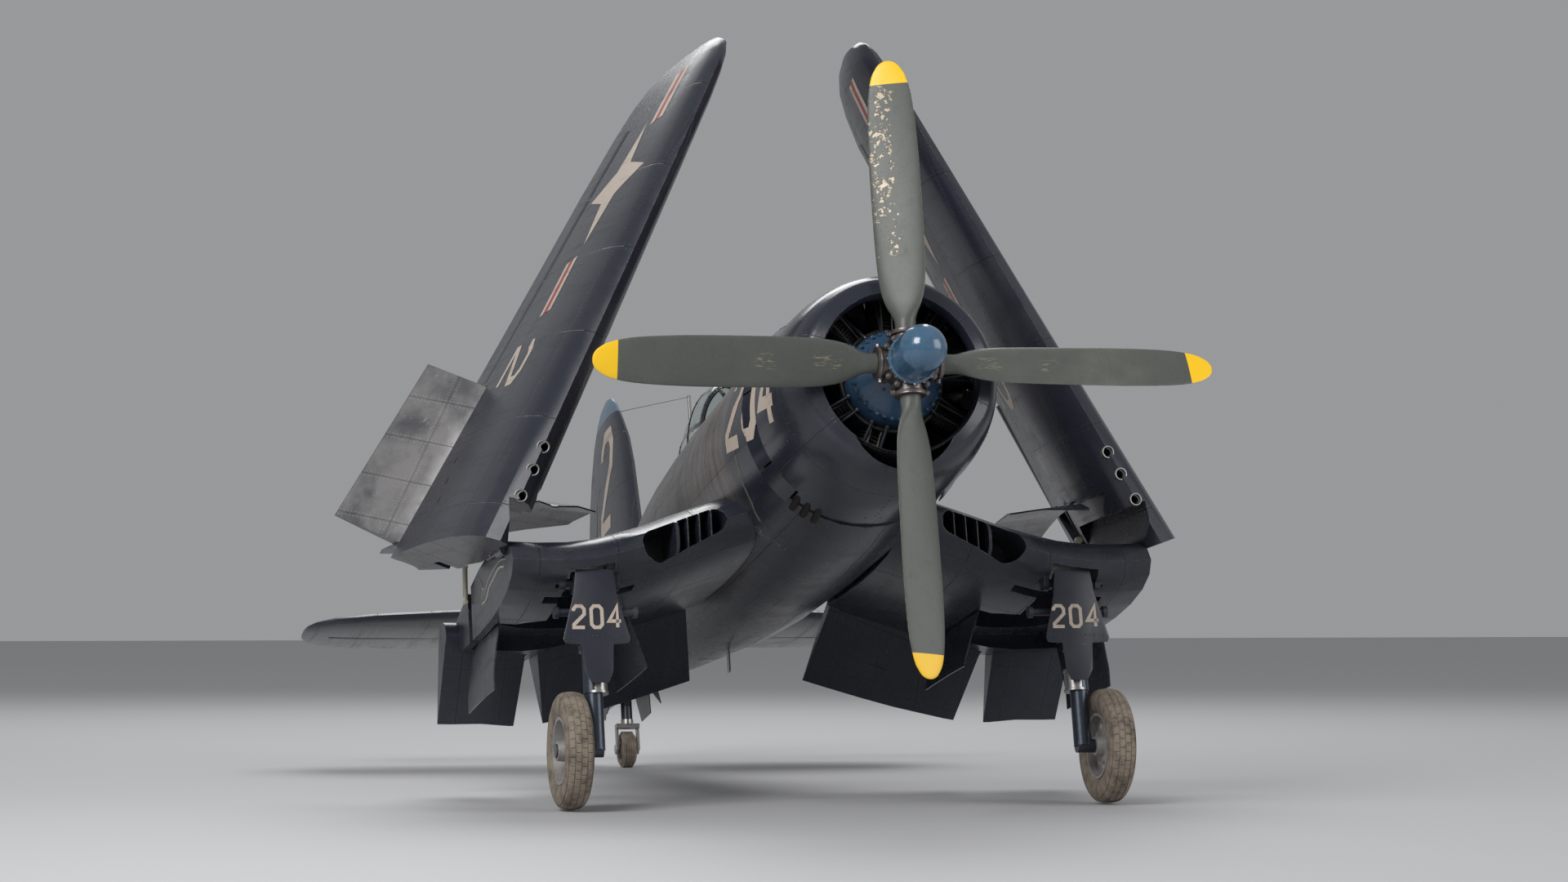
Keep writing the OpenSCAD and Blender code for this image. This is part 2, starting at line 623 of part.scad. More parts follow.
strut_pin = [fold_x + 5, strut_arm_y, strut_arm_z];
module fold_strut() color([0.8, 0.76, 0.62]) translate(strut_pin) rotate([fold_pitch, 0, 0]) {
    along_y(2.5, -7.5, 7.5);
    cylinder(r=3.5, h=strut_arm_len);
    translate([0, 0, strut_arm_len]) along_y(5, -4, 4);
}
module fold_strut_left() fold_strut();
module fold_strut_right() starboard() fold_strut();

// ---- main gear
housing_r = 15;
housing_end = -244;
spigot_r = 9;
spigot_len = 20;
collar_end = -330;
piston_top = -292;
module at_strut() translate([strut_x, strut_y, 0]) children();
module column(r, low, high) translate([0, 0, low]) cylinder(r=r, h=high - low);

module gear_leg() color(steel) union() {
    translate([0, strut_y, trunnion_z]) along_x(trunnion_r, strut_x - slot_half - horn_w, strut_x + slot_half + horn_w);
    translate([0, strut_y, trunnion_z]) along_x(housing_r, strut_x - 22, strut_x + 22);
    translate([0, strut_y, trunnion_z - 39]) {
        along_x(5, strut_x - 60, strut_x + 45);
        for (x = [strut_x - 63, strut_x + 42]) along_x(8, x, x + 6);
    }
    at_strut() {
        column(housing_r, housing_end, trunnion_z);
        column(spigot_r, housing_end - spigot_len, housing_end);
    }
    for (z = [-196, -234]) block([strut_x - 4, 388, z - 4], [strut_x + 4, strut_y - 8, z + 4]);
}
fairing_y = 386;
module gear_fairing() color(navy) plate_y(fairing_y, 2, [
    [302, -169], [352, -169], [355, -200], [373, -262], [370, -268], [352, -279], [346, -304], [338, -319],
    [314, -319], [308, -304], [304, -279], [286, -268], [283, -262], [299, -200]]);

module strut_collar() color(steel) difference() {
    at_strut() {
        column(housing_r - 1.5, collar_end, housing_end - seat);
        column(housing_r + 2, -274, -266);
    }
    at_strut() {
        column(spigot_r + running, housing_end - spigot_len - 1, housing_end + 1);
        column(oleo_r + running, collar_end - 1, piston_top + oleo_travel + 1);
    }
}
wheel_x = strut_x + wheel_offset;
hub_half = tyre_w / 2 - 1;
axle_r = 6;
module gear_piston() color([0.8, 0.82, 0.85]) {
    at_strut() column(oleo_r, axle_z, piston_top);
    translate([0, strut_y, axle_z]) {
        along_x(9, strut_x - 9, wheel_x - hub_half - seat);
        along_x(axle_r, strut_x, wheel_x + hub_half + seat);
        along_x(9, wheel_x + hub_half + seat, wheel_x + hub_half + 2);
    }
}
rim_r = 44;
module turned_x(outline) translate([wheel_x, strut_y, axle_z]) rotate([0, 90, 0])
    rotate_extrude($fn=96) polygon(outline);
module main_tyre() color([0.2, 0.2, 0.2]) turned_x([
    [rim_r, -14], [52, -tyre_w / 2 + 1], [60, -tyre_w / 2], [68, -tyre_w / 2 + 1], [74.5, -14], [tyre_r, -8],
    [tyre_r, 8], [74.5, 14], [68, tyre_w / 2 - 1], [60, tyre_w / 2], [52, tyre_w / 2 - 1], [rim_r, 14]]);
module main_rim() color(steel) difference() {
    turned_x([[axle_r + running, -hub_half], [13, -hub_half], [15, -8], [38, -5], [40, -15], [rim_r, -15],
              [rim_r, 15], [40, 15], [38, 1], [15, -1], [13, hub_half], [axle_r + running, hub_half]]);
    translate([0, strut_y, axle_z]) for (i = [0:7]) rotate([45 * i, 0, 0]) translate([0, 0, 27])
        along_x(6, wheel_x - 20, wheel_x + 20);
}

// wheel doors, slices of the wing's lower skin, drawn shut and swung open
door_thick = 2;
door_open = 96;
door_mid = strut_x + 0.6;
function door_hinge_at(x, y) = [x, y, skin_z(gull_rows, x, y, -1, lead_edge) + 1];
outer_hinge_p = door_hinge_at(door_outer_x - 2, door_front);
outer_hinge_q = door_hinge_at(door_outer_x - 2, door_back);
inner_hinge_p = door_hinge_at(door_inner_x + 2, door_front);
inner_hinge_q = door_hinge_at(door_inner_x + 2, door_back);
module door_slice(from, to) intersection() {
    difference() {
        centre_form();
        translate([0, 0, door_thick]) centre_form();
    }
    block([from, door_front, -260], [to, door_back, -150]);
}
module wheel_door_outer() color(navy) swung(outer_hinge_p, outer_hinge_q, -door_open)
    door_slice(door_mid, door_outer_x - 0.8);
module wheel_door_inner() color(navy) swung(inner_hinge_p, inner_hinge_q, door_open)
    door_slice(door_inner_x + 0.8, door_mid - 1.2);

module gear_leg_left() gear_leg();
module gear_leg_right() starboard() gear_leg();
module gear_fairing_left() gear_fairing();
module gear_fairing_right() starboard() gear_fairing();
module strut_collar_left() strut_collar();
module strut_collar_right() starboard() strut_collar();
module gear_piston_left() gear_piston();
module gear_piston_right() starboard() gear_piston();
module main_tyre_left() main_tyre();
module main_tyre_right() starboard() main_tyre();
module main_rim_left() main_rim();
module main_rim_right() starboard() main_rim();
module wheel_door_outer_left() wheel_door_outer();
module wheel_door_outer_right() starboard() wheel_door_outer();
module wheel_door_inner_left() wheel_door_inner();
module wheel_door_inner_right() starboard() wheel_door_inner();

// ---- cockpit
// aft, half width and top of the glazing
screen_rows = [[812, 34, 160], [828, 43, 174], [846, 51, 190], [863, 56.5, 200]];
hood_rows = [[863.6, 56.5, 200], [905, 57.5, 203.5], [955, 57, 202.5], [1014, 55.5, 198]];
function glazing_ring(row, grow) = [for (i = [0:16])
    let (t = 180 - 180 * i / 16)
    [(row[1] + grow) * cos(t), row[0], canopy_sill + (row[2] + grow - canopy_sill) * pow(sin(t), 0.85)]];
module glazing(rows, thick) difference() {
    loft([for (row = rows) glazing_ring(row, 0)]);
    translate([0, 0, -eps]) loft([for (row = concat([[rows[0][0] - 1, rows[0][1], rows[0][2]]],
        rows, [[rows[3][0] + 1, rows[3][1], rows[3][2]]])) glazing_ring(row, -thick)]);
}
module bands(edges, rail) {
    for (e = edges) block([-far, e[0], 0], [far, e[1], far]);
    block([-far, 700, 0], [far, far * 2, canopy_sill + rail]);
}
screen_bands = [[812, 817], [856, 863.2]];
hood_bands = [[863, 870], [936, 941], [1007, 1015]];
module windshield() color(navy) difference() {
    union() {
        intersection() {
            glazing(screen_rows, 2.4);
            union() {
                bands(screen_bands, 8);
                for (side = [-1, 1]) block([side * 21 - 2.5, 700, 0], [side * 21 + 2.5, 860, far]);
            }
        }
        block([-48, 812, 128], [48, 834, canopy_sill + 4]);
    }
    body_form();
    block([-32, 830, 100], [32, 860, 200]);
}
module windshield_glass() color([0.5, 0.6, 0.65]) difference() {
    glazing(screen_rows, 1.2);
    body_form();
    block([-48, 812, 128], [48, 834, canopy_sill + 4]);
    bands(screen_bands, 8);
    for (side = [-1, 1]) block([side * 21 - 2.5, 700, 0], [side * 21 + 2.5, 860, far]);
}
module canopy_frame() color(navy) intersection() {
    glazing(hood_rows, 2.4);
    bands(hood_bands, 7);
}
module canopy_glass() color([0.5, 0.6, 0.65]) difference() {
    glazing(hood_rows, 1.2);
    bands(hood_bands, 7);
}

tub_half = cockpit_half - seat;
tub_floor = 61;
module cockpit_tub() color([0.2, 0.28, 0.22]) {
    difference() {
        block([-tub_half, cockpit_front + seat, tub_floor], [tub_half, cockpit_back - seat, 137]);
        block([-tub_half + 2, cockpit_front + 2, tub_floor + 2], [tub_half - 2, cockpit_back - 2, 200]);
    }
    block([-tub_half + 1, cockpit_front + 14, tub_floor + 40], [tub_half - 1, cockpit_front + 20, 135]);
    translate([0, 895, tub_floor]) column(3, 0, 44);
    for (side = [-1, 1]) block([side * 38 - 6, 870, tub_floor], [side * 38 + 6, 960, tub_floor + 36]);
}
module pilot_seat() color([0.3, 0.3, 0.28]) difference() {
    union() {
        block([-24, 930, tub_floor + 2], [24, 978, tub_floor + 34]);
        block([-24, 968, tub_floor + 30], [24, 984, 172]);
        block([-15, 972, 172], [15, 982, 184]);
    }
    block([-20, 926, tub_floor + 20], [20, 968, tub_floor + 60]);
    block([-19, 965, tub_floor + 40], [19, 977, 168]);
}

// ---- tail
// height, aft to the leading edge, aft to the trailing edge
fin_rows = [[-24, 1800, 1902], [0, 1700, 1925], [45, 1560, 1944], [110, 1503, 1942], [150, 1513, 1936],
    [209, 1531, 1921], [302, 1557, 1890], [350, 1580, 1866], [395, 1620, 1835], [425, 1652, 1800],
    [fin_top - 6, 1676, 1768], [fin_top, 1700, 1742]];
module fin_form(rows=fin_rows) loft([for (row = rows)
    ring_at_z(row[0], [for (p = foil(0, 0, row[2] - row[1], 0.09, 0))
        [row[1] + p[0], p[1] - mean_line(min(1, max(0, p[0] / (row[2] - row[1])))) * (row[2] - row[1])]])]);
rudder_low = [0, 1834, -30];
rudder_high = [0, 1786, 450];
rudder_nose = 17;
module rudder_zone(nose, gap) translate(rudder_low)
    rotate([atan((rudder_low[1] - rudder_high[1]) / (rudder_high[2] - rudder_low[2])), 0, 0])
    translate([0, 0, -40]) {
        cylinder(r=nose + gap, h=560);
        translate([-60, 0, 0]) cube([120, 200, 560]);
    }
module fin() color(navy) difference() {
    fin_form([for (row = fin_rows) if (row[0] > 40) row]);
    body_form(0);
    block([-far, 0, -far], [far, 3000, 85]);
    rudder_zone(rudder_nose, 0.8);
}
module rudder() color(navy) intersection() {
    fin_form();
    rudder_zone(rudder_nose, 0);
}

stab_rows = [[0, 1588, 1902], [40, 1594, 1902], [300, 1637, 1900], [410, 1660, 1893], [465, 1683, 1876],
    [494, 1712, 1848], [stab_half - 3, 1736, 1822], [stab_half, 1756, 1800]];
module half_stab() loft([for (row = stab_rows) ring_at_x(row[0],
    [for (p = foil(0, 0, row[2] - row[1], 0.09, 0))
        [row[1] + p[0], tail_z + p[1] - mean_line(min(1, max(0, p[0] / (row[2] - row[1])))) * (row[2] - row[1])]])]);
elevator_nose = 13.5;
elevator_in = 34;
module elevator_zone(gap) {
    translate([0, elevator_y, tail_z]) along_x(elevator_nose + gap, elevator_in - gap, far);
    difference() {
        block([elevator_in - gap, elevator_y, tail_z - 60], [far, 2000, tail_z + 60]);
        translate([elevator_in - gap, elevator_y + 10, tail_z - 80]) rotate([0, 0, -24]) translate([-200, -300, 0])
            cube([200, 600, 160]);
    }
}
module stabilizer() color(navy) for (side = [0, 1]) mirror([side, 0, 0]) difference() {
    half_stab();
    body_form(0);
    block([-far, 0, -far], [8, 3000, far]);
    elevator_zone(0.8);
    rudder_zone(rudder_nose, 3);
    block([-far, elevator_y, -far], [elevator_in + 52, 3000, far]);
    translate([0, elevator_y, tail_z]) along_x(torque_r + running, 0, 60);
}
module elevators() color(navy) {
    for (side = [0, 1]) mirror([side, 0, 0]) intersection() {
        half_stab();
        elevator_zone(0);
    }
    translate([0, elevator_y, tail_z]) along_x(torque_r, -elevator_in - 4, elevator_in + 4);
}

mast_y = 1149;
mast_top = 292;
module rod(p, q, r) translate(p) rotate([0, 90 - slope(p, q), bearing(p, q)]) cylinder(r=r, h=norm(q - p), $fn=24);
module antenna_rig() color([0.1, 0.1, 0.1]) {
    rod([0, mast_y - 3, 174.6], [0, mast_y, mast_top], 2.6);
    rod([0, mast_y, mast_top - 2], [0, 1627.4, 403.4], 0.8);
    difference() {
        block([-1.2, 990, -172], [1.2, 1002, -135]);
        body_form();
    }
}

tail_leg_y = 1688;
tail_pin_r = 5;
fork_top = -98;
module tail_leg() color(steel) difference() {
    union() {
        translate([0, tail_leg_y, 0]) column(9, fork_top + 0.4, -30);
        translate([0, tail_leg_y, -34]) along_x(6, -bay_half, bay_half);
        rod([0, 1606, -20], [0, tail_leg_y, -80], 4);
        translate([0, 1606, -20]) along_x(5, -bay_half, bay_half);
    }
    translate([0, tail_leg_y, 0]) column(tail_pin_r + running, fork_top - 2, -70);
}
tail_half = 12;
fork_half = 19;
tail_axle_r = 3.5;
module tail_fork() color([0.8, 0.82, 0.85]) {
    translate([0, tail_leg_y, 0]) column(tail_pin_r, fork_top - 4, -71);
    translate([0, tail_leg_y, 0]) column(10, fork_top - 8, fork_top);
    block([-fork_half, tail_leg_y - 7, fork_top - 14], [fork_half, tail_leg_y + 8, fork_top - 7]);
    for (side = [-1, 1]) {
        block([side * (fork_half - 2) - 2, tail_leg_y - 2, tail_axle_z - 3], [side * (fork_half - 2) + 2, tail_leg_y + 8, fork_top - 7]);
        translate([0, tail_axle_y, tail_axle_z]) along_x(8, side * (fork_half - 2) - 2, side * (fork_half - 2) + 2);
    }
    translate([0, tail_axle_y, tail_axle_z]) along_x(tail_axle_r, -fork_half, fork_half);
}
module tail_wheel() color([0.2, 0.2, 0.2]) translate([0, tail_axle_y, tail_axle_z]) rotate([0, 90, 0])
    rotate_extrude() polygon(concat(
        [[tail_axle_r + running, -tail_half - 1], [8, -tail_half - 1], [10, -7], [16, -7], [18, -tail_half + 2],
         [23, -tail_half]],
        [for (i = [0:4]) each [[tail_r - 1.2, -8.4 + i * 3.6], [tail_r, -8 + i * 3.6], [tail_r, -6.4 + i * 3.6],
                               [tail_r - 1.2, -6 + i * 3.6]]],
        [[23, tail_half], [18, tail_half - 2], [16, 7], [10, 7], [8, tail_half + 1],
         [tail_axle_r + running, tail_half + 1]]));
module tail_doors() color(navy) difference() {
    for (side = [-1, 1]) translate([side * (bay_half + 1), 0, -30]) rotate([0, -side * 12, 0]) difference() {
        block([-0.8, bay_front + 2, -62], [0.8, bay_back - 4, 12]);
        translate([0, bay_front + 2, -62]) rotate([38, 0, 0]) block([-5, -40, -60], [5, 60, 0]);
    }
    body_form(seat, [for (row = body_rows) if (row[0] > 1400) row]);
}

hook_len = 118;
module arrestor_hook() color(steel) translate([0, hook_y, hook_z]) {
    along_x(hook_pin_r, -8, 8);
    rotate([2, 0, 0]) {
        along_x(4.6, -4.6, 4.6);
        along_y(3.6, 0, hook_len);
        translate([0, hook_len, -6]) along_x(7, -5, 5);
    }
}

stand() fuselage();
stand() nose_cowl();
stand() cowl_flaps();
stand() crankcase();
stand() engine_cylinders();
stand() ignition_harness();
stand() drive_motor();
stand() battery_pack();
stand() radio_tray();
stand() centre_wing_left();
stand() centre_wing_right();
stand() windshield();
stand() windshield_glass();
stand() cockpit_tub();
stand() pilot_seat();
stand() fin();
stand() stabilizer();
stand() antenna_rig();
stand() tail_doors();
stand() canopy_frame();
stand() canopy_glass();
stand() propeller_hub();
stand() propeller_blades();
stand() propeller_dome();
stand() outer_wing_left();
stand() outer_wing_right();
stand() aileron_left();
stand() aileron_right();
stand() outer_flap_left();
stand() outer_flap_right();
stand() mid_flap_left();
stand() mid_flap_right();
stand() inboard_flap_left();
stand() inboard_flap_right();
stand() fold_strut_left();
stand() fold_strut_right();
stand() gear_leg_left();
stand() gear_leg_right();
stand() gear_fairing_left();
stand() gear_fairing_right();
stand() strut_collar_left();
stand() strut_collar_right();
stand() gear_piston_left();
stand() gear_piston_right();
stand() main_tyre_left();
stand() main_tyre_right();
stand() main_rim_left();
stand() main_rim_right();
stand() wheel_door_outer_left();
stand() wheel_door_outer_right();
stand() wheel_door_inner_left();
stand() wheel_door_inner_right();
stand() tail_leg();
stand() tail_fork();
stand() tail_wheel();
stand() rudder();
stand() elevators();
stand() arrestor_hook();
stand() fold_door_left();
stand() fold_door_right();
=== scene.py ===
import math

import bpy
from mathutils import Matrix, Vector


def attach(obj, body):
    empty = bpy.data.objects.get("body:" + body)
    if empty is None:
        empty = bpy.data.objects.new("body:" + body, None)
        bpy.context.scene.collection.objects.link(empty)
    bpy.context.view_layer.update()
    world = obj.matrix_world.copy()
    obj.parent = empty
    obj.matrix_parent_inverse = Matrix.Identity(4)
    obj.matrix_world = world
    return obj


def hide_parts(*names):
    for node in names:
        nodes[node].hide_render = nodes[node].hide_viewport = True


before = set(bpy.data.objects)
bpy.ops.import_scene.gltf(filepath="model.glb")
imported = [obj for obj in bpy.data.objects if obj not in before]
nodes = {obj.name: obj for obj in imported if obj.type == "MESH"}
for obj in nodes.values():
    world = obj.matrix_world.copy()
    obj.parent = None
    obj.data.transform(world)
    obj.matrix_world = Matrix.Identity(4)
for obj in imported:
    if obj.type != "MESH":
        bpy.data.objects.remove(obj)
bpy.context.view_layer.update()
bpy.ops.object.select_all(action="DESELECT")
print("frame loaded,", len(nodes), "nodes")

# ---- camera
cameraSetup = {"place": (-1.4539, -5.873, 0.2771), "tilt": 92.134, "heading": -14.617, "lens": 95.4375}
cameraData = bpy.data.cameras.new("camera")
cameraData.lens = cameraSetup["lens"]
cameraData.sensor_width = 36
cameraObject = bpy.data.objects.new("camera", cameraData)
cameraObject.location = cameraSetup["place"]
cameraObject.rotation_euler = (math.radians(cameraSetup["tilt"]), 0, math.radians(cameraSetup["heading"]))
bpy.context.scene.collection.objects.link(cameraObject)
bpy.context.scene.camera = cameraObject

# ---- how the model stands: x to port, y aft of the propeller disc, z over the thrust line
stance = {"noseUp": 13.5, "aft": -0.910, "hubHeight": 0.56581,
          "foldPoint": Vector((0.437, 0.399, -0.137)), "foldPitch": 7, "foldAngle": 109}


def turn(degrees, axis):
    return Matrix.Rotation(math.radians(degrees), 4, axis)


sides = {"left": 1, "right": -1}      # the sign of x on each side
mirrorX = Matrix.Scale(-1, 4, (1, 0, 0))
airframe = Matrix.Translation((0, stance["aft"], stance["hubHeight"])) @ turn(-stance["noseUp"], "X")
foldTurn = (Matrix.Translation(stance["foldPoint"]) @ turn(stance["foldPitch"], "X")
            @ turn(-stance["foldAngle"], "Y") @ turn(-stance["foldPitch"], "X")
            @ Matrix.Translation(-stance["foldPoint"]))
panel = {"left": airframe @ foldTurn, "right": airframe @ mirrorX @ foldTurn @ mirrorX}


# ---- node helpers
def addNode(tree, kind, **settings):
    node = tree.nodes.new(kind)
    for name, value in settings.items():
        setattr(node, name, value)
    return node


def feed(tree, value, socket):
    if isinstance(value, bpy.types.NodeSocket):
        tree.links.new(value, socket)
    else:
        socket.default_value = value


def calc(tree, operation, *values, clamp=False):
    node = addNode(tree, "ShaderNodeMath", operation=operation, use_clamp=clamp)
    for socket, value in zip(node.inputs, values):
        feed(tree, value, socket)
    return node.outputs[0]


def mixColour(tree, factor, first, second, blend="MIX"):
    node = addNode(tree, "ShaderNodeMix", data_type="RGBA", blend_type=blend)
    feed(tree, factor, node.inputs[0])
    feed(tree, first, node.inputs[6])
    feed(tree, second, node.inputs[7])
    return node.outputs[2]


def stepUp(tree, value, low, high, first=0.0, last=1.0):
    node = addNode(tree, "ShaderNodeMapRange", interpolation_type="SMOOTHSTEP")
    for socket, item in zip(node.inputs, (value, low, high, first, last)):
        feed(tree, item, socket)
    return node.outputs[0]


def noise(tree, vector, scale, detail=4.0, roughness=0.6):
    node = addNode(tree, "ShaderNodeTexNoise")
    feed(tree, vector, node.inputs["Vector"])
    feed(tree, scale, node.inputs["Scale"])
    feed(tree, detail, node.inputs["Detail"])
    feed(tree, roughness, node.inputs["Roughness"])
    return node.outputs[0]


def localPlace(tree, toWorld):
    place = addNode(tree, "ShaderNodeTexCoord")
    mapping = addNode(tree, "ShaderNodeMapping")
    back = toWorld.inverted()
    mapping.inputs["Location"].default_value = back.to_translation()
    mapping.inputs["Rotation"].default_value = back.to_euler("XYZ")
    tree.links.new(place.outputs["Object"], mapping.inputs["Vector"])
    return mapping.outputs[0]


def stretchedPlace(tree, vector, scale):
    mapping = addNode(tree, "ShaderNodeMapping")
    feed(tree, vector, mapping.inputs["Vector"])
    mapping.inputs["Scale"].default_value = scale
    return mapping.outputs[0]


def split(tree, vector):
    node = addNode(tree, "ShaderNodeSeparateXYZ")
    feed(tree, vector, node.inputs[0])
    return node.outputs


def newGroup(name, inputs, outputs):
    group = bpy.data.node_groups.new(name, "ShaderNodeTree")
    for label, kind, value in inputs:
        socket = group.interface.new_socket(label, in_out="INPUT", socket_type="NodeSocket" + kind)
        if value is not None:
            socket.default_value = value
    for label, kind in outputs:
        group.interface.new_socket(label, in_out="OUTPUT", socket_type="NodeSocket" + kind)
    return group, group.nodes.new("NodeGroupInput").outputs, group.nodes.new("NodeGroupOutput").inputs


def useGroup(tree, group, **values):
    node = addNode(tree, "ShaderNodeGroup", node_tree=group)
    for name, value in values.items():
        feed(tree, value, node.inputs[name])
    return node.outputs


# ---- shared effects
# seams at even spacing across one direction, with a row of rivets on each side of every seam
seamRow, given, result = newGroup(
    "seamRow",
    [("Across", "Float", 0), ("Along", "Float", 0), ("Spacing", "Float", 0.1), ("Shift", "Float", 0),
     ("Width", "Float", 0.0006), ("Gap", "Float", 0.0035), ("Pitch", "Float", 0.006), ("Head", "Float", 0.0009)],
    [("Seam", "Float"), ("Rivet", "Float")])
half = calc(seamRow, "MULTIPLY", given["Spacing"], 0.5)
away = calc(seamRow, "PINGPONG", calc(seamRow, "ADD", given["Across"], given["Shift"]), half)
feed(seamRow, stepUp(seamRow, away, given["Width"], 0.0, 0.0, 1.0), result["Seam"])
sideways = calc(seamRow, "SUBTRACT", away, given["Gap"])
lengthways = calc(seamRow, "PINGPONG", given["Along"], calc(seamRow, "MULTIPLY", given["Pitch"], 0.5))
reach = calc(seamRow, "SQRT", calc(seamRow, "ADD", calc(seamRow, "MULTIPLY", sideways, sideways),
                                  calc(seamRow, "MULTIPLY", lengthways, lengthways)))
feed(seamRow, stepUp(seamRow, reach, given["Head"], 0.0003), result["Rivet"])

# sun-faded, streaked and dusty paint
weathered, given, result = newGroup(
    "weathered",
    [("Vector", "Vector", None), ("Colour", "Color", (0.03, 0.03, 0.04, 1)),
     ("Faded", "Color", (0.1, 0.1, 0.11, 1)), ("Grime", "Color", (0.02, 0.017, 0.013, 1)),
     ("Fade", "Float", 0.4), ("Dirt", "Float", 0.4), ("Gloss", "Float", 0.28)],
    [("Color", "Color"), ("Roughness", "Float"), ("Height", "Float")])
patches = noise(weathered, given["Vector"], 6, 4, 0.55)
cloudy = noise(weathered, given["Vector"], 34, 4, 0.6)
fine = noise(weathered, given["Vector"], 420, 2, 0.5)
drag = noise(weathered, stretchedPlace(weathered, given["Vector"], (90, 5, 60)), 1, 4, 0.65)
fadeMask = calc(weathered, "MULTIPLY", stepUp(weathered, patches, 0.45, 0.75), given["Fade"], clamp=True)
fadeMask = calc(weathered, "MULTIPLY", fadeMask, stepUp(weathered, cloudy, 0.25, 0.65, 0.35, 1), clamp=True)
grimeMask = calc(weathered, "MULTIPLY", stepUp(weathered, drag, 0.5, 0.78), given["Dirt"], clamp=True)
tone = mixColour(weathered, fadeMask, given["Colour"], given["Faded"])
tone = mixColour(weathered, grimeMask, tone, given["Grime"])
speck = stepUp(weathered, fine, 0.3, 0.7, 0.94, 1.05)
shade = addNode(weathered, "ShaderNodeCombineColor")
for socket in shade.inputs:
    feed(weathered, speck, socket)
feed(weathered, mixColour(weathered, 1.0, tone, shade.outputs[0], "MULTIPLY"), result["Color"])
rough = calc(weathered, "ADD", given["Gloss"], calc(weathered, "MULTIPLY", fadeMask, 0.3))
rough = calc(weathered, "ADD", rough, calc(weathered, "MULTIPLY", grimeMask, 0.22))
rough = calc(weathered, "ADD", rough, calc(weathered, "MULTIPLY", calc(weathered, "SUBTRACT", cloudy, 0.5), 0.08))
feed(weathered, calc(weathered, "MAXIMUM", rough, 0.08), result["Roughness"])
feed(weathered, calc(weathered, "MULTIPLY", fine, 0.000012), result["Height"])

# paint chipped down to metal
chipped, given, result = newGroup(
    "chipped", [("Vector", "Vector", None), ("Size", "Float", 120.0), ("Amount", "Float", 0.3)],
    [("Mask", "Float")])
broad = noise(chipped, given["Vector"], calc(chipped, "MULTIPLY", given["Size"], 0.16), 3, 0.5)
small = noise(chipped, given["Vector"], given["Size"], 6, 0.72)
both = calc(chipped, "ADD", calc(chipped, "MULTIPLY", small, 0.62), calc(chipped, "MULTIPLY", broad, 0.38))
level = calc(chipped, "SUBTRACT", 0.72, calc(chipped, "MULTIPLY", given["Amount"], 0.24))
feed(chipped, stepUp(chipped, both, level, calc(chipped, "ADD", level, 0.015)), result["Mask"])

# paint rubbed off along edges
edgeWear, given, result = newGroup(
    "edgeWear", [("Vector", "Vector", None), ("Radius", "Float", 0.0012), ("Amount", "Float", 0.8)],
    [("Mask", "Float")])
roundedNormal = addNode(edgeWear, "ShaderNodeBevel", samples=4)
feed(edgeWear, given["Radius"], roundedNormal.inputs["Radius"])
flatNormal = addNode(edgeWear, "ShaderNodeNewGeometry")
compare = addNode(edgeWear, "ShaderNodeVectorMath", operation="DOT_PRODUCT")
edgeWear.links.new(roundedNormal.outputs[0], compare.inputs[0])
edgeWear.links.new(flatNormal.outputs["Normal"], compare.inputs[1])
bend = stepUp(edgeWear, compare.outputs["Value"], 0.97, 0.80, 0, 1)
patchy = stepUp(edgeWear, noise(edgeWear, given["Vector"], 160, 4, 0.7), 0.42, 0.6)
feed(edgeWear, calc(edgeWear, "MULTIPLY", calc(edgeWear, "MULTIPLY", bend, patchy), given["Amount"], clamp=True),
     result["Mask"])
print("shared effects made")

# ---- finishes
colours = {
    "navy": (0.022, 0.025, 0.038, 1), "navyFaded": (0.075, 0.074, 0.082, 1),
    "browned": (0.155, 0.130, 0.110, 1), "grime": (0.020, 0.016, 0.012, 1),
    "metal": (0.42, 0.40, 0.38, 1), "blade": (0.085, 0.092, 0.080, 1), "bladeWorn": (0.34, 0.29, 0.22, 1),
    "yellow": (1.0, 0.60, 0.012, 1), "dome": (0.045, 0.115, 0.20, 1), "hub": (0.165, 0.145, 0.138, 1),
    "crankcase": (0.035, 0.075, 0.135, 1), "finTip": (0.09, 0.165, 0.24, 1), "cream": (0.56, 0.47, 0.39, 1),
    "red": (0.36, 0.045, 0.035, 1), "rubber": (0.060, 0.052, 0.045, 1), "dust": (0.30, 0.245, 0.19, 1),
    "silver": (0.36, 0.35, 0.34, 1), "darkSteel": (0.055, 0.065, 0.085, 1), "interior": (0.045, 0.075, 0.045, 1),
    "black": (0.012, 0.012, 0.013, 1), "sootAndSlotShade": (0.022, 0.017, 0.014, 1), "lead": (0.05, 0.047, 0.042, 1),
    "ivory": (0.50, 0.46, 0.36, 1), "canvas": (0.16, 0.15, 0.10, 1), "seam": (0.006, 0.006, 0.007, 1)}


def newFinish(name, toWorld=airframe):
    material = bpy.data.materials.new(name)
    material.use_nodes = True
    tree = material.node_tree
    return material, tree, tree.nodes["Principled BSDF"], localPlace(tree, toWorld)


def raiseSurface(tree, shader, height, distance=1.0, softEdge=0.0008):
    bump = addNode(tree, "ShaderNodeBump")
    bump.inputs["Distance"].default_value = distance
    feed(tree, height, bump.inputs["Height"])
    if softEdge:
        edge = addNode(tree, "ShaderNodeBevel", samples=4)
        edge.inputs["Radius"].default_value = softEdge
        tree.links.new(edge.outputs[0], bump.inputs["Normal"])
    tree.links.new(bump.outputs[0], shader.inputs["Normal"])


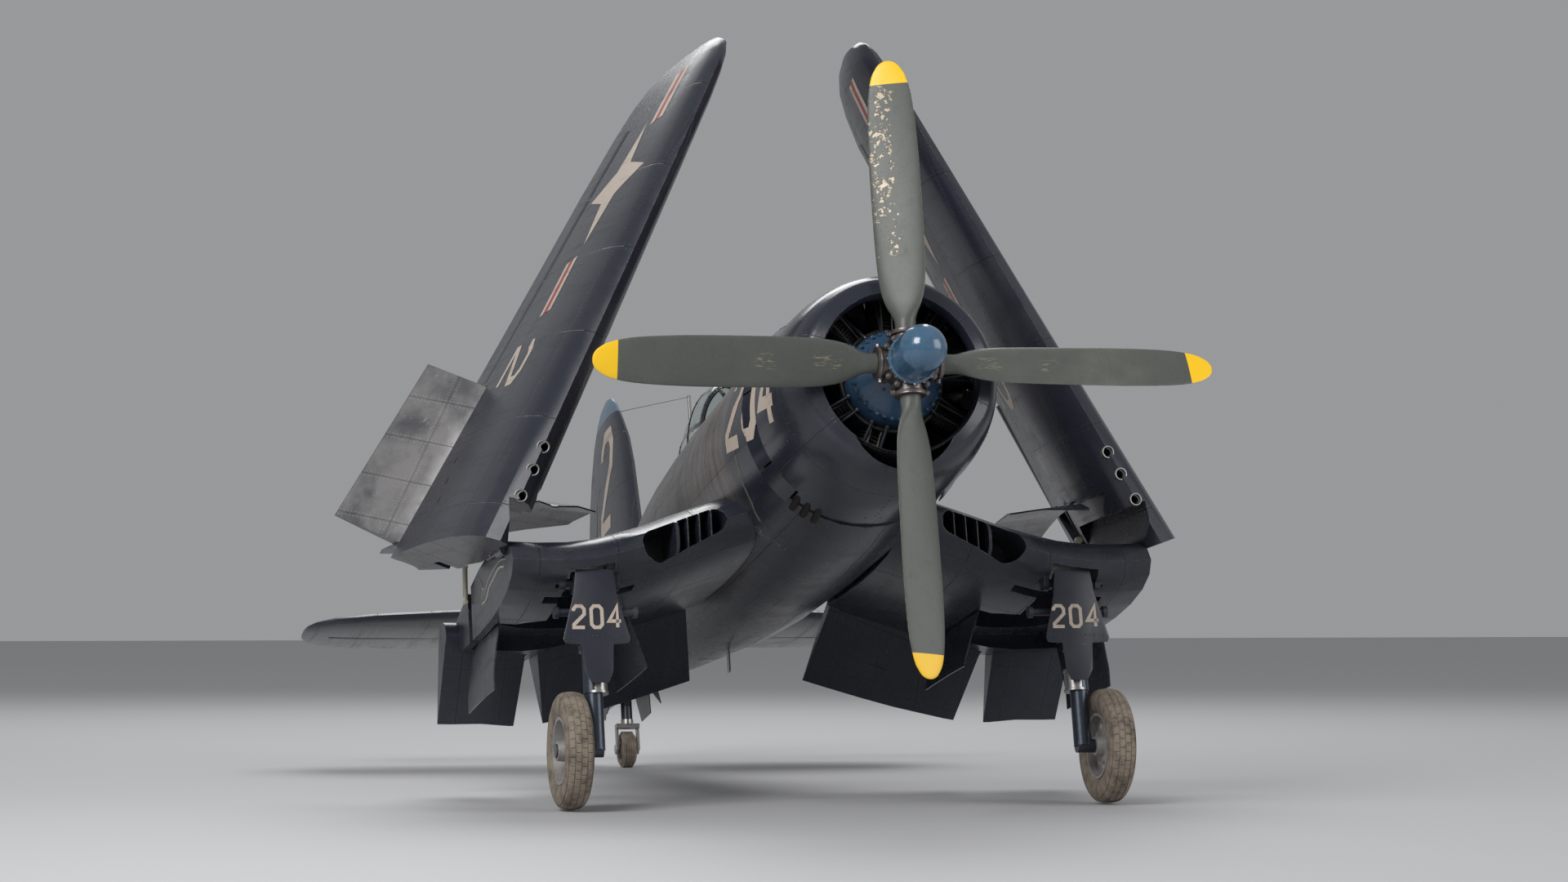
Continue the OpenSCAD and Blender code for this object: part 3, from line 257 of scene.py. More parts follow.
# what each skin's seams follow: the axis read across, the axis along, and their spacing
skinLayouts = {
    "fuselage": {"round": True, "frames": 0.118, "frameShift": 0.0, "stringers": 0.118, "stringerShift": 0.03},
    "cowl": {"round": True, "frames": 0.2, "frameShift": 0.098, "stringers": 0.154, "stringerShift": 0.02},
    "wing": {"round": False, "frames": 0.105, "frameShift": 0.02, "stringers": 0.118, "stringerShift": 0.055},
    "panel": {"round": False, "frames": 0.132, "frameShift": 0.04, "stringers": 0.098, "stringerShift": 0.03},
    "flap": {"round": False, "frames": 0.062, "frameShift": 0.005, "stringers": 0.064, "stringerShift": 0.02},
    "tail": {"round": False, "frames": 0.085, "frameShift": 0.02, "stringers": 0.11, "stringerShift": 0.07},
    "fin": {"round": False, "upright": True, "frames": 0.09, "frameShift": 0.0, "stringers": 0.11,
            "stringerShift": 0.0}}


def navyPaint(name, layout, toWorld=airframe, fade=0.35, dirt=0.45, gloss=0.26, wear=0.5, tip=False, bareAndSheen=0.0,
              wornFront=False, pitch=0.006, seamDark=0.65, dots=0.22):
    material, tree, shader, place = newFinish(name, toWorld)
    x, y, z = split(tree, place)
    plan = skinLayouts[layout]
    if plan["round"]:
        around = calc(tree, "MULTIPLY", calc(tree, "ARCTAN2", x, z), 0.15)
        across, along = y, around
    elif plan.get("upright"):
        across, along = z, y
    else:
        across, along = calc(tree, "ABSOLUTE", x), y
    ribs = useGroup(tree, seamRow, Across=across, Along=along, Spacing=plan["frames"], Shift=plan["frameShift"],
                    Pitch=pitch)
    spars = useGroup(tree, seamRow, Across=along, Along=across, Spacing=plan["stringers"],
                     Shift=plan["stringerShift"], Pitch=pitch)
    seam = calc(tree, "MAXIMUM", ribs["Seam"], spars["Seam"])
    rivet = calc(tree, "MAXIMUM", ribs["Rivet"], spars["Rivet"])
    paint = useGroup(tree, weathered, Vector=place, Colour=colours["navy"], Faded=colours["navyFaded"],
                     Grime=colours["grime"], Fade=fade, Dirt=dirt, Gloss=gloss)
    colour = paint["Color"]
    if tip:     # the fin's painted tip, above a line that rises a little aft
        line = calc(tree, "SUBTRACT", z, calc(tree, "ADD", calc(tree, "MULTIPLY", y, 0.0391), 0.3432))
        colour = mixColour(tree, stepUp(tree, line, 0.0, 0.0015), colour, colours["finTip"])
    worn = useGroup(tree, edgeWear, Vector=place, Amount=wear)["Mask"]
    chips = useGroup(tree, chipped, Vector=place, Size=190.0, Amount=0.2 + 0.5 * bareAndSheen)["Mask"]
    chips = calc(tree, "MULTIPLY", chips, 0.35 + 0.5 * bareAndSheen)
    if wornFront:       # sun-faded to brown above the wing root, and rubbed bare along its front seam
        browned = calc(tree, "MULTIPLY", stepUp(tree, y, 0.33, 0.40), stepUp(tree, z, -0.13, -0.02))
        streaks = noise(tree, stretchedPlace(tree, place, (14, 60, 14)), 1, 4, 0.6)
        browned = calc(tree, "MULTIPLY", browned, stepUp(tree, streaks, 0.32, 0.60, 0.25, 0.9))
        browned = calc(tree, "MULTIPLY", browned, stepUp(tree, y, 1.45, 0.85, 0.3, 1.0))
        colour = mixColour(tree, browned, colour, colours["browned"])
        seamAway = calc(tree, "ABSOLUTE", calc(tree, "SUBTRACT", y, calc(tree, "ADD", 0.372,
                                                                      calc(tree, "MULTIPLY", z, -0.12))))
        rubbed = calc(tree, "MULTIPLY", stepUp(tree, seamAway, 0.016, 0.002), stepUp(tree, z, -0.01, -0.06))
        rubs = useGroup(tree, chipped, Vector=place, Size=120.0, Amount=0.62)["Mask"]
        chips = calc(tree, "MAXIMUM", chips, calc(tree, "MULTIPLY", rubbed, rubs), clamp=True)
    metalAndSheenMask = calc(tree, "MAXIMUM", worn, chips, clamp=True)
    # bright metal patches by noise: partly real bare metal, partly painted sheen where light catches the flap
    if bareAndSheen:
        sheen = stepUp(tree, noise(tree, place, 14, 5, 0.6), 0.3, 0.62, 0.2, 1.0)
        metalAndSheenMask = calc(tree, "MAXIMUM", metalAndSheenMask, calc(tree, "MULTIPLY", sheen, bareAndSheen), clamp=True)
    colour = mixColour(tree, calc(tree, "MULTIPLY", seam, seamDark), colour, colours["seam"])
    colour = mixColour(tree, metalAndSheenMask, colour, colours["metal"])
    colour = mixColour(tree, calc(tree, "MULTIPLY", rivet, dots), colour,
                       colours["metal"] if bareAndSheen else colours["navyFaded"])
    tree.links.new(colour, shader.inputs["Base Color"])
    feed(tree, calc(tree, "MULTIPLY", metalAndSheenMask, 0.85), shader.inputs["Metallic"])
    feed(tree, calc(tree, "ADD", paint["Roughness"], calc(tree, "MULTIPLY", seam, 0.2), clamp=True),
         shader.inputs["Roughness"])
    height = calc(tree, "ADD", paint["Height"], calc(tree, "MULTIPLY", seam, -0.0005))
    height = calc(tree, "ADD", height, calc(tree, "MULTIPLY", rivet, 0.00022))
    height = calc(tree, "SUBTRACT", height, calc(tree, "MULTIPLY", chips, 0.00006))
    raiseSurface(tree, shader, height)
    return material


def plainFinish(name, colour, second=None, roughness=0.4, metallic=0.0, chips=0.2, wear=0.5, scale=60.0,
                toWorld=airframe, under="metal", grit=0.00005, coat=0.0, dusty=0.0):
    material, tree, shader, place = newFinish(name, toWorld)
    second = second or [min(1, c * 1.9 + 0.01) for c in colours[colour][:3]] + [1]
    paint = useGroup(tree, weathered, Vector=place, Colour=colours[colour], Faded=second,
                     Grime=colours["grime"], Fade=0.45, Dirt=0.4, Gloss=roughness)
    worn = useGroup(tree, edgeWear, Vector=place, Amount=wear, Radius=0.0007)["Mask"]
    marks = useGroup(tree, chipped, Vector=place, Size=scale, Amount=chips)["Mask"]
    mask = calc(tree, "MAXIMUM", worn, calc(tree, "MULTIPLY", marks, 0.8), clamp=True)
    colourOut = mixColour(tree, mask, paint["Color"], colours[under])
    if dusty:
        powder = stepUp(tree, noise(tree, place, 45, 5, 0.65), 0.4, 0.7, 0, dusty)
        colourOut = mixColour(tree, powder, colourOut, colours["dust"])
    tree.links.new(colourOut, shader.inputs["Base Color"])
    feed(tree, calc(tree, "ADD", metallic, calc(tree, "MULTIPLY", mask, max(0.0, 0.8 - metallic)), clamp=True),
         shader.inputs["Metallic"])
    tree.links.new(paint["Roughness"], shader.inputs["Roughness"])
    shader.inputs["Coat Weight"].default_value = coat
    lumps = calc(tree, "MULTIPLY", noise(tree, place, 900, 3, 0.6), grit)
    raiseSurface(tree, shader, calc(tree, "SUBTRACT", lumps, calc(tree, "MULTIPLY", mask, 0.00005)), softEdge=0.0005)
    return material


bladeWear = {"tip": (0.3695, 0.3705), "stripStart": (0.10, 0.16), "stripEnd": (0.395, 0.37),
             "stripAcross": (0.020, -0.008), "rubs": ((0.105, 0.022, 0.014), (0.183, 0.016, 0.008)),
             "rubAcross": (0.012, 0.006)}


def bladePaint():
    material, tree, shader, place = newFinish("bladePaint")
    x, _, z = split(tree, place)
    reachX, reachZ = calc(tree, "ABSOLUTE", x), calc(tree, "ABSOLUTE", z)
    paint = useGroup(tree, weathered, Vector=place, Colour=colours["blade"], Faded=(0.17, 0.17, 0.145, 1),
                     Grime=(0.05, 0.05, 0.045, 1), Fade=0.5, Dirt=0.25, Gloss=0.42)
    tips = stepUp(tree, calc(tree, "MAXIMUM", reachX, reachZ), *bladeWear["tip"])
    colour = mixColour(tree, tips, paint["Color"], colours["yellow"])
    onTop = calc(tree, "MULTIPLY", stepUp(tree, z, *bladeWear["stripStart"]), stepUp(tree, z, *bladeWear["stripEnd"]))
    strip = calc(tree, "MULTIPLY", onTop, stepUp(tree, x, *bladeWear["stripAcross"]))
    amount = calc(tree, "ADD", 0.16, calc(tree, "MULTIPLY", strip, 0.62))
    chips = useGroup(tree, chipped, Vector=place, Size=150.0, Amount=amount)["Mask"]
    edges = useGroup(tree, edgeWear, Vector=place, Radius=0.0016, Amount=0.9)["Mask"]
    rubs = [stepUp(tree, calc(tree, "ABSOLUTE", calc(tree, "SUBTRACT", reachX, at)), off, full)
            for at, off, full in bladeWear["rubs"]]
    scuffed = calc(tree, "MULTIPLY", calc(tree, "MAXIMUM", *rubs), stepUp(tree, reachZ, *bladeWear["rubAcross"]))
    scratches = noise(tree, stretchedPlace(tree, place, (60, 220, 420)), 1, 5, 0.7)
    scuffed = calc(tree, "MULTIPLY", scuffed, stepUp(tree, scratches, 0.54, 0.60))
    mask = calc(tree, "MAXIMUM", chips, calc(tree, "MAXIMUM", edges, scuffed), clamp=True)
    colour = mixColour(tree, calc(tree, "MULTIPLY", mask, 0.85), colour, colours["bladeWorn"])
    tree.links.new(colour, shader.inputs["Base Color"])
    feed(tree, calc(tree, "MULTIPLY", mask, 0.55), shader.inputs["Metallic"])
    feed(tree, calc(tree, "ADD", paint["Roughness"], calc(tree, "MULTIPLY", tips, -0.05)),
         shader.inputs["Roughness"])
    raiseSurface(tree, shader, calc(tree, "MULTIPLY", mask, -0.00012))
    return material


def glassFinish():
    material, tree, shader, place = newFinish("canopyGlass")
    smears = stepUp(tree, noise(tree, place, 30, 4, 0.6), 0.5, 0.8, 0.02, 0.14)
    shader.inputs["Base Color"].default_value = (0.80, 0.86, 0.84, 1)
    shader.inputs["Transmission Weight"].default_value = 1.0
    shader.inputs["IOR"].default_value = 1.2
    tree.links.new(smears, shader.inputs["Roughness"])
    return material


def rubberFinish(name, dusty):
    material, tree, shader, place = newFinish(name)
    powder = stepUp(tree, noise(tree, place, 55, 5, 0.7), 0.30, 0.62, 0.25 * dusty, dusty)
    grit = noise(tree, place, 700, 3, 0.6)
    colour = mixColour(tree, powder, colours["rubber"], colours["dust"])
    tree.links.new(colour, shader.inputs["Base Color"])
    feed(tree, stepUp(tree, grit, 0.3, 0.7, 0.72, 0.95), shader.inputs["Roughness"])
    raiseSurface(tree, shader, calc(tree, "MULTIPLY", grit, 0.0002), softEdge=0.0006)
    return material


finish = {
    "fuselage": navyPaint("fuselagePaint", "fuselage", wornFront=True, fade=0.75),
    "cowl": navyPaint("cowlPaint", "cowl", fade=0.3, gloss=0.2),
    "wing": navyPaint("wingPaint", "wing", fade=0.45, gloss=0.24),
    "panelLeft": navyPaint("panelPaintLeft", "panel", panel["left"]),
    "panelRight": navyPaint("panelPaintRight", "panel", panel["right"]),
    "flap": navyPaint("flapPaint", "flap", fade=0.3),
    # starboard outer flap: worn paint, with heavier bright metal patches than the port flap as painted sheen of light
    # on its lower surface
    "wornAndSheenFlap": navyPaint("wornAndSheenFlap", "flap", panel["right"], bareAndSheen=0.42, gloss=0.40, pitch=0.0045, seamDark=0.2,
                          dots=0.6),
    "outerFlap": navyPaint("outerFlapPaint", "flap", panel["left"], bareAndSheen=0.12),
    "tail": navyPaint("tailPaint", "tail"),
    "fin": navyPaint("finPaint", "fin", tip=True),
    "gearPaint": plainFinish("gearPaint", "navy", (0.11, 0.11, 0.12, 1), roughness=0.32, chips=0.35, wear=0.9),
    "blade": bladePaint(),
    "dome": plainFinish("domePaint", "dome", (0.10, 0.18, 0.26, 1), roughness=0.16, chips=0.12, coat=0.6),
    "hub": plainFinish("hubMetal", "hub", roughness=0.36, metallic=0.8, chips=0.4),
    "crankcase": plainFinish("crankcasePaint", "crankcase", (0.06, 0.12, 0.2, 1), roughness=0.22, chips=0.3),
    "cylinders": plainFinish("cylinderMetal", "black", (0.05, 0.048, 0.045, 1), roughness=0.45, metallic=0.5),
    "harness": plainFinish("harnessLead", "lead", roughness=0.4, metallic=0.5),
    "steel": plainFinish("steelMetal", "silver", roughness=0.3, metallic=0.85, chips=0.1),
    "rim": plainFinish("rimPaint", "silver", roughness=0.42, metallic=0.45, chips=0.35, dusty=0.4),
    "ivory": plainFinish("ivoryPaint", "ivory", roughness=0.4, chips=0.3, wear=0.8),
    "webbing": plainFinish("beltWebbing", "canvas", roughness=0.85, chips=0.0, wear=0.3, grit=0.0004),
    "darkSteel": plainFinish("darkSteel", "darkSteel", roughness=0.28, metallic=0.7, chips=0.2, wear=0.8),
    "interior": plainFinish("cockpitPaint", "interior", roughness=0.55, chips=0.3),
    "black": plainFinish("blackPaint", "black", (0.05, 0.05, 0.05, 1), roughness=0.4),
    "cream": plainFinish("creamPaint", "cream", (0.42, 0.35, 0.29, 1), roughness=0.42, chips=0.24, wear=0,
                         under="navy", scale=130.0),
    "red": plainFinish("redPaint", "red", (0.25, 0.07, 0.05, 1), roughness=0.42, chips=0.22, wear=0,
                       under="navy", scale=130.0),
    "fairing": plainFinish("fairingPaint", "navy", (0.055, 0.055, 0.065, 1), roughness=0.36, chips=0.28, wear=1.0,
                           scale=110.0),
    "wornNavy": plainFinish("wornNavyPaint", "navy", (0.10, 0.10, 0.11, 1), roughness=0.3, chips=0.5, wear=1.0,
                            scale=120.0),
    "rubbedSeam": plainFinish("rubbedSeam", "browned", (0.30, 0.25, 0.19, 1), roughness=0.45, chips=0.62, wear=0.2,
                              scale=150.0, under="navy"),
    # flat black for the case slots: painted shade standing in for the dark inside of open slots
    "sootAndSlotShade": plainFinish("paintedSlotShade", "black", (0.02, 0.02, 0.02, 1), roughness=0.8, chips=0.0, wear=0.0),
    "exhaust": plainFinish("exhaustMetal", "sootAndSlotShade", (0.07, 0.045, 0.035, 1), roughness=0.55, metallic=0.6, chips=0.1),
    "wornSteel": plainFinish("wornSteel", "silver", (0.2, 0.18, 0.16, 1), roughness=0.34, metallic=0.85, chips=0.35,
                             under="grime"),
    "tyre": rubberFinish("tyreRubber", 0.85),
    "glass": glassFinish()}
print("finishes made")

nodeFinish = {
    "fuselage": "fuselage", "nose_cowl": "cowl", "cowl_flaps": "cowl", "crankcase": "crankcase",
    "engine_cylinders": "cylinders", "ignition_harness": "harness", "drive_motor": "black",
    "battery_pack": "black", "radio_tray": "steel", "centre_wing_left": "wing", "centre_wing_right": "wing",
    "windshield": "cowl", "windshield_glass": "glass", "cockpit_tub": "interior", "pilot_seat": "interior",
    "fin": "fin", "stabilizer": "tail", "antenna_rig": "steel", "tail_doors": "gearPaint",
    "canopy_frame": "cowl", "canopy_glass": "glass", "propeller_hub": "hub", "propeller_blades": "blade",
    "propeller_dome": "dome", "tail_leg": "gearPaint", "tail_fork": "steel", "tail_wheel": "tyre",
    "rudder": "fin", "elevators": "tail", "arrestor_hook": "steel"}
# the starboard outer flap takes the sheen-patched finish (painted sheen), the port one a lightly worn finish
for side, metal in (("left", "outerFlap"), ("right", "wornAndSheenFlap")):
    nodeFinish.update({
        "outer_wing_" + side: "panel" + side.capitalize(), "aileron_" + side: "panel" + side.capitalize(),
        "fold_door_" + side: "panel" + side.capitalize(), "outer_flap_" + side: metal,
        "mid_flap_" + side: "flap", "inboard_flap_" + side: "flap", "fold_strut_" + side: "ivory",
        "gear_leg_" + side: "gearPaint", "gear_fairing_" + side: "gearPaint", "strut_collar_" + side: "darkSteel",
        "gear_piston_" + side: "darkSteel", "main_tyre_" + side: "tyre", "main_rim_" + side: "rim",
        "wheel_door_outer_" + side: "wing", "wheel_door_inner_" + side: "wing"})

# a node whose name holds one of these words has a round leading edge, and stays smooth over wider angles
roundWords = ("nose_cowl", "wing", "flap", "aileron", "fin", "stabilizer", "rudder", "elevators")
partingAngle = {"round": 58, "other": 32}


def dressNode(name):
    node = nodes[name]
    node.data.materials.clear()
    node.data.materials.append(finish[nodeFinish[name]])
    for face in node.data.polygons:
        face.use_smooth = True
    weld = node.modifiers.new("weld", "WELD")
    weld.merge_threshold = 0.00002
    parting = node.modifiers.new("parting", "EDGE_SPLIT")
    kind = "round" if any(word in name for word in roundWords) else "other"
    parting.split_angle = math.radians(partingAngle[kind])


for name in nodes:
    dressNode(name)
print("nodes dressed")

# ---- making pieces
def selectOnly(*objects):
    bpy.ops.object.select_all(action="DESELECT")
    for item in objects:
        item.select_set(True)
    bpy.context.view_layer.objects.active = objects[-1]


def settle(piece, name, finishName, body, smooth=35, stand=airframe):
    piece.name = name
    piece.data.name = name
    if stand:
        piece.matrix_world = stand @ piece.matrix_world
    bpy.context.view_layer.update()
    selectOnly(piece)
    bpy.ops.object.transform_apply(location=True, rotation=True, scale=True)
    if smooth:
        bpy.ops.object.shade_smooth_by_angle(angle=math.radians(smooth))
    piece.data.materials.clear()
    piece.data.materials.append(finish[finishName])
    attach(piece, body)
    bpy.ops.object.select_all(action="DESELECT")
    return piece


def applyAll(piece):
    selectOnly(piece)
    for modifier in list(piece.modifiers):
        bpy.ops.object.modifier_apply(modifier=modifier.name)


def joined(*objects):
    selectOnly(*objects)
    bpy.ops.object.join()
    return bpy.context.object


# ---- painted marks: plain block numerals, a four-pointed star and paired stripes
numerals = {
    "0": [[(0, .25), (.25, 0), (.75, 0), (1, .25), (1, 1.45), (.75, 1.7), (.25, 1.7), (0, 1.45), (0, .25)]],
    "2": [[(0, 1.3), (0, 1.45), (.25, 1.7), (.75, 1.7), (1, 1.45), (1, 1.05), (0, .22), (0, 0), (1, 0)]],
    "4": [[(.78, 0), (.78, 1.7), (0, .5), (1.1, .5)]]}


def ribbonMesh(lines, width, step):
    corners, faces = [], []
    for line in lines:
        points = [Vector(p) for p in line]
        closed = (points[0] - points[-1]).length < 1e-6
        left, right = [], []
        for i, point in enumerate(points):
            before = points[i - 1] if i else (points[-2] if closed else None)
            after = points[i + 1] if i + 1 < len(points) else (points[1] if closed else None)
            ways = [(b - a).normalized() for a, b in ((before, point), (point, after)) if a and b]
            across = sum((Vector((-w.y, w.x)) for w in ways), Vector((0, 0))).normalized()
            reachOut = width / 2 / max(0.45, across.dot(Vector((-ways[0].y, ways[0].x))))
            left.append(point + across * reachOut)
            right.append(point - across * reachOut)
        for i in range(len(points) - 1):
            count = max(1, round((points[i + 1] - points[i]).length / step))
            for k in range(count):
                for share in (k / count, (k + 1) / count):
                    corners.append(left[i].lerp(left[i + 1], share))
                    corners.append(right[i].lerp(right[i + 1], share))
                n = len(corners)
                faces.append((n - 3, n - 4, n - 2, n - 1))
    return [(c.x, c.y, 0) for c in corners], faces


def flatPiece(name, corners, faces):
    data = bpy.data.meshes.new(name)
    data.from_pydata(corners, [], faces)
    piece = bpy.data.objects.new(name, data)
    bpy.context.scene.collection.objects.link(piece)
    selectOnly(piece)
    bpy.ops.object.mode_set(mode="EDIT")
    bpy.ops.mesh.select_all(action="SELECT")
    bpy.ops.mesh.remove_doubles(threshold=0.00002)
    bpy.ops.mesh.normals_make_consistent(inside=False)
    bpy.ops.object.mode_set(mode="OBJECT")
    return piece


def gridCuts(piece, spacing):
    selectOnly(piece)
    bpy.ops.object.mode_set(mode="EDIT")
    for axis in (0, 1):
        low = min(v.co[axis] for v in piece.data.vertices)
        high = max(v.co[axis] for v in piece.data.vertices)
        for i in range(1, int((high - low) / spacing) + 1):
            bpy.ops.mesh.select_all(action="SELECT")
            place, normal = [0, 0, 0], [0, 0, 0]
            place[axis], normal[axis] = low + i * spacing, 1
            bpy.ops.mesh.bisect(plane_co=place, plane_no=normal)
    bpy.ops.object.mode_set(mode="OBJECT")


def layOnSkin(piece, name, finishName, body, targets, curve, toWorld, lift=0.0003, spacing=0.008):
    gridCuts(piece, spacing)
    for vertex in piece.data.vertices:
        vertex.co = toWorld @ Vector(curve(vertex.co.x, vertex.co.y))
    skins = []
    for node in targets:
        skin = bpy.data.objects.new("wrapTarget", nodes[node].data.copy())
        bpy.context.scene.collection.objects.link(skin)
        skins.append(skin)
    target = joined(*skins)
    wrap = piece.modifiers.new("wrap", "SHRINKWRAP")
    wrap.target = target
    wrap.wrap_method = "NEAREST_SURFACEPOINT"
    wrap.wrap_mode = "ABOVE_SURFACE"
    wrap.offset = lift
    applyAll(piece)
    bpy.data.objects.remove(target)
    return settle(piece, name, finishName, body, smooth=30, stand=None)


def numberMark(name, text, height, stroke, finishName, body, targets, curve, toWorld, broad=0.5, gap=0.2):
    digitWide = (height - stroke) * broad
    lines, shift = [], 0.0
    for sign in text:
        for line in numerals[sign]:
            lines.append([(x * digitWide + shift, y * (height - stroke) / 1.7) for x, y in line])
        shift += digitWide + stroke + height * gap
    width = shift - stroke - height * gap
    lines = [[(x - width / 2, y - (height - stroke) / 2) for x, y in line] for line in lines]
    corners, faces = ribbonMesh(lines, stroke, 0.012)
    return layOnSkin(flatPiece(name, corners, faces), name, finishName, body, targets, curve, toWorld)


def starMesh(radius, waist):
    ring = []
    for i in range(8):
        reachOut = radius if i % 2 == 0 else radius * waist
        ring.append((reachOut * math.sin(math.pi * i / 4), reachOut * math.cos(math.pi * i / 4), 0))
    return ring + [(0, 0, 0)], [(i, 8, (i + 1) % 8) for i in range(8)]


def stripeMesh(length, low, high):
    return [(-length / 2, low, 0), (length / 2, low, 0), (length / 2, high, 0), (-length / 2, high, 0)], [(0, 1, 2, 3)]


markPlan = {
    "star": (1.012, 0.622), "starRadius": 0.104, "waist": 0.36, "starTurn": 7,
    "upper": (1.150, 0.588), "lower": (0.846, 0.628), "stripe": 0.088, "stripeTurn": 97,
    "bands": ((-0.0235, -0.009, "cream"), (-0.0088, 0.0088, "red"), (0.009, 0.0235, "cream")),
    "numeral": (0.722, 0.630), "number": "204", "single": "2"}


# the wings' form: outer panel from the fold outboard, then the flat stretch of the centre wing by the fuselage
panelForm = {"foldX": 0.437, "leading": 0.374, "sweep": 0.13, "chord": 0.558, "taper": 0.25, "height": -0.157,
             "dihedral": 8.5, "thickness": 0.162, "thinning": 0.058, "incidence": 2, "washout": 2.5, "clear": 0.004}
centreForm = {"x": 0.150, "leading": 0.374, "chord": 0.577, "height": -0.103, "fall": 0.34, "thickness": 0.168,
              "incidence": 2}


def foilCamber(share):
    return 0.085 * share * (1 - share) * (1 - 0.45 * share)


def foilHalf(share):      # half the thickness of a unit foil, over its thickness ratio
    return 5 * (0.2969 * math.sqrt(share) - 0.126 * share - 0.3516 * share ** 2 + 0.2843 * share ** 3
                - 0.1036 * share ** 4)


def panelLeading(along):     # y and z of the outer panel's leading edge, this far outboard of the fold
    return (panelForm["leading"] + panelForm["sweep"] * along,
            panelForm["height"] + along * math.tan(math.radians(panelForm["dihedral"])))


def panelPoint(side, top):
    face = 1 if top else -1

    def curve(x, y):
        along = x - panelForm["foldX"]
        leading, height = panelLeading(along)
        chord = panelForm["chord"] - panelForm["taper"] * along
        share = min(0.98, max(0.02, (y - leading) / chord))
        thick = foilHalf(share) * (panelForm["thickness"] - panelForm["thinning"] * along)
        twist = math.radians(panelForm["incidence"] - panelForm["washout"] * along)
        height = height - share * chord * math.sin(twist)
        return sides[side] * x, y, height + (foilCamber(share) + face * (thick + panelForm["clear"])) * chord
    return curve


def panelMarks(side, top):
    body = "outer_wing_" + side
    skin = panelPoint(side, top)
    handed = 1 if (side == "left") != top else -1

    def at(centre, turnBy=0.0):
        c, n = math.cos(math.radians(turnBy)), math.sin(math.radians(turnBy))
        return lambda u, v: skin(centre[0] + (v * c - u * n * handed), centre[1] + (u * c * handed + v * n))

    label = side.capitalize() + ("Top" if top else "Under")
    corners, faces = starMesh(markPlan["starRadius"], markPlan["waist"])
    layOnSkin(flatPiece("star", corners, faces), "star" + label, "cream", body, [body],
              at(markPlan["star"], markPlan["starTurn"]), panel[side])
    for spot in ("upper", "lower"):
        for k, (low, high, tint) in enumerate(markPlan["bands"]):
            corners, faces = stripeMesh(markPlan["stripe"], low, high)
            layOnSkin(flatPiece("stripe", corners, faces), f"stripe{label}{spot.capitalize()}{k + 1}", tint, body,
                      [body], at(markPlan[spot], markPlan["stripeTurn"]), panel[side])
    middle = markPlan["numeral"]
    numberMark("numeral" + label, markPlan["single"], 0.108, 0.0145, "cream", body, [body],
               lambda u, v: skin(middle[0] + handed * u, middle[1] - v), panel[side], broad=0.62)


for side in sides:
    for top in (True, False):
        panelMarks(side, top)


nosePlan = {"radius": 0.154, "middle": 0.232, "raise": 0.15, "slope": 0.13, "keep": 0.991}
finPlan = {"x": 0.02, "y": 1.690, "z": 0.303, "rake": 0.12}
doorPlan = {"x": 0.327, "y": 0.380, "z": -0.232}


def noseSkin(sign):     # the number runs toward the nose to starboard and aft to port, a little nose-down
    radius = nosePlan["radius"]

    def curve(u, v):
        along = u * nosePlan["keep"] - v * nosePlan["slope"] * sign
        around = (v * nosePlan["keep"] + u * nosePlan["slope"] * sign) / radius + nosePlan["raise"]
        return sign * radius * math.cos(around), nosePlan["middle"] + sign * along, radius * math.sin(around)
    return curve


def finSkin(sign):
    return lambda u, v: (sign * finPlan["x"], finPlan["y"] - finPlan["rake"] * v + sign * u, finPlan["z"] + v)


def doorSkin(sign):
    return lambda u, v: (sign * doorPlan["x"] + u, doorPlan["y"], doorPlan["z"] + v)


for side, sign in sides.items():
    numberMark("noseNumber" + side.capitalize(), markPlan["number"], 0.118, 0.0175, "cream", "airframe",
               ["nose_cowl", "cowl_flaps", "fuselage"], noseSkin(sign), airframe, broad=0.5, gap=0.13)
    numberMark("finNumeral" + side.capitalize(), markPlan["single"], 0.172, 0.022, "cream", "airframe", ["fin"],
               finSkin(sign), airframe, broad=0.52)
    numberMark("doorNumber" + side.capitalize(), markPlan["number"], 0.033, 0.0046, "cream", "gear_leg_" + side,
               ["gear_fairing_" + side], doorSkin(sign), airframe, broad=0.5, gap=0.14)
print("marks painted")

# ---- shapes that several pieces share
def sheetPiece(name, acrossCount, alongCount, curve, thick=0.0, outward=1.0):
    bpy.ops.mesh.primitive_grid_add(x_subdivisions=acrossCount, y_subdivisions=alongCount, size=1)
    piece = bpy.context.object
    piece.name = name
    for vertex in piece.data.vertices:
        vertex.co = Vector(curve(vertex.co.x + 0.5, vertex.co.y + 0.5))
    if thick:
        wall = piece.modifiers.new("wall", "SOLIDIFY")
        wall.thickness = thick
        wall.offset = outward
        applyAll(piece)
    return piece


def closeTube(piece, bridged=False):     # a sheet rolled into a tube: its long edges meet, its ends are closed
    selectOnly(piece)
    bpy.ops.object.mode_set(mode="EDIT")
    bpy.ops.mesh.select_mode(type="EDGE")
    bpy.ops.mesh.select_all(action="SELECT")
    bpy.ops.mesh.remove_doubles(threshold=0.00001)
    if bridged:
        bpy.ops.mesh.select_all(action="DESELECT")
        bpy.ops.mesh.select_non_manifold()
        bpy.ops.mesh.bridge_edge_loops()
    else:
        bpy.ops.mesh.fill_holes(sides=0)
    bpy.ops.mesh.select_all(action="SELECT")
    bpy.ops.mesh.normals_make_consistent(inside=False)
    bpy.ops.object.mode_set(mode="OBJECT")


def tube(points, radius, smoothLine=True, rounds=2):
    data = bpy.data.curves.new("tube", "CURVE")
    data.dimensions = "3D"
    data.bevel_depth = radius
    data.bevel_resolution = rounds
    data.resolution_u = 6
    data.use_fill_caps = True
    line = data.splines.new("BEZIER")
    line.bezier_points.add(len(points) - 1)
    for knot, point in zip(line.bezier_points, points):
        knot.co = point
        knot.handle_left_type = knot.handle_right_type = "AUTO" if smoothLine else "VECTOR"
    piece = bpy.data.objects.new("tube", data)
    bpy.context.scene.collection.objects.link(piece)
    selectOnly(piece)
    bpy.ops.object.convert(target="MESH")
    return bpy.context.object


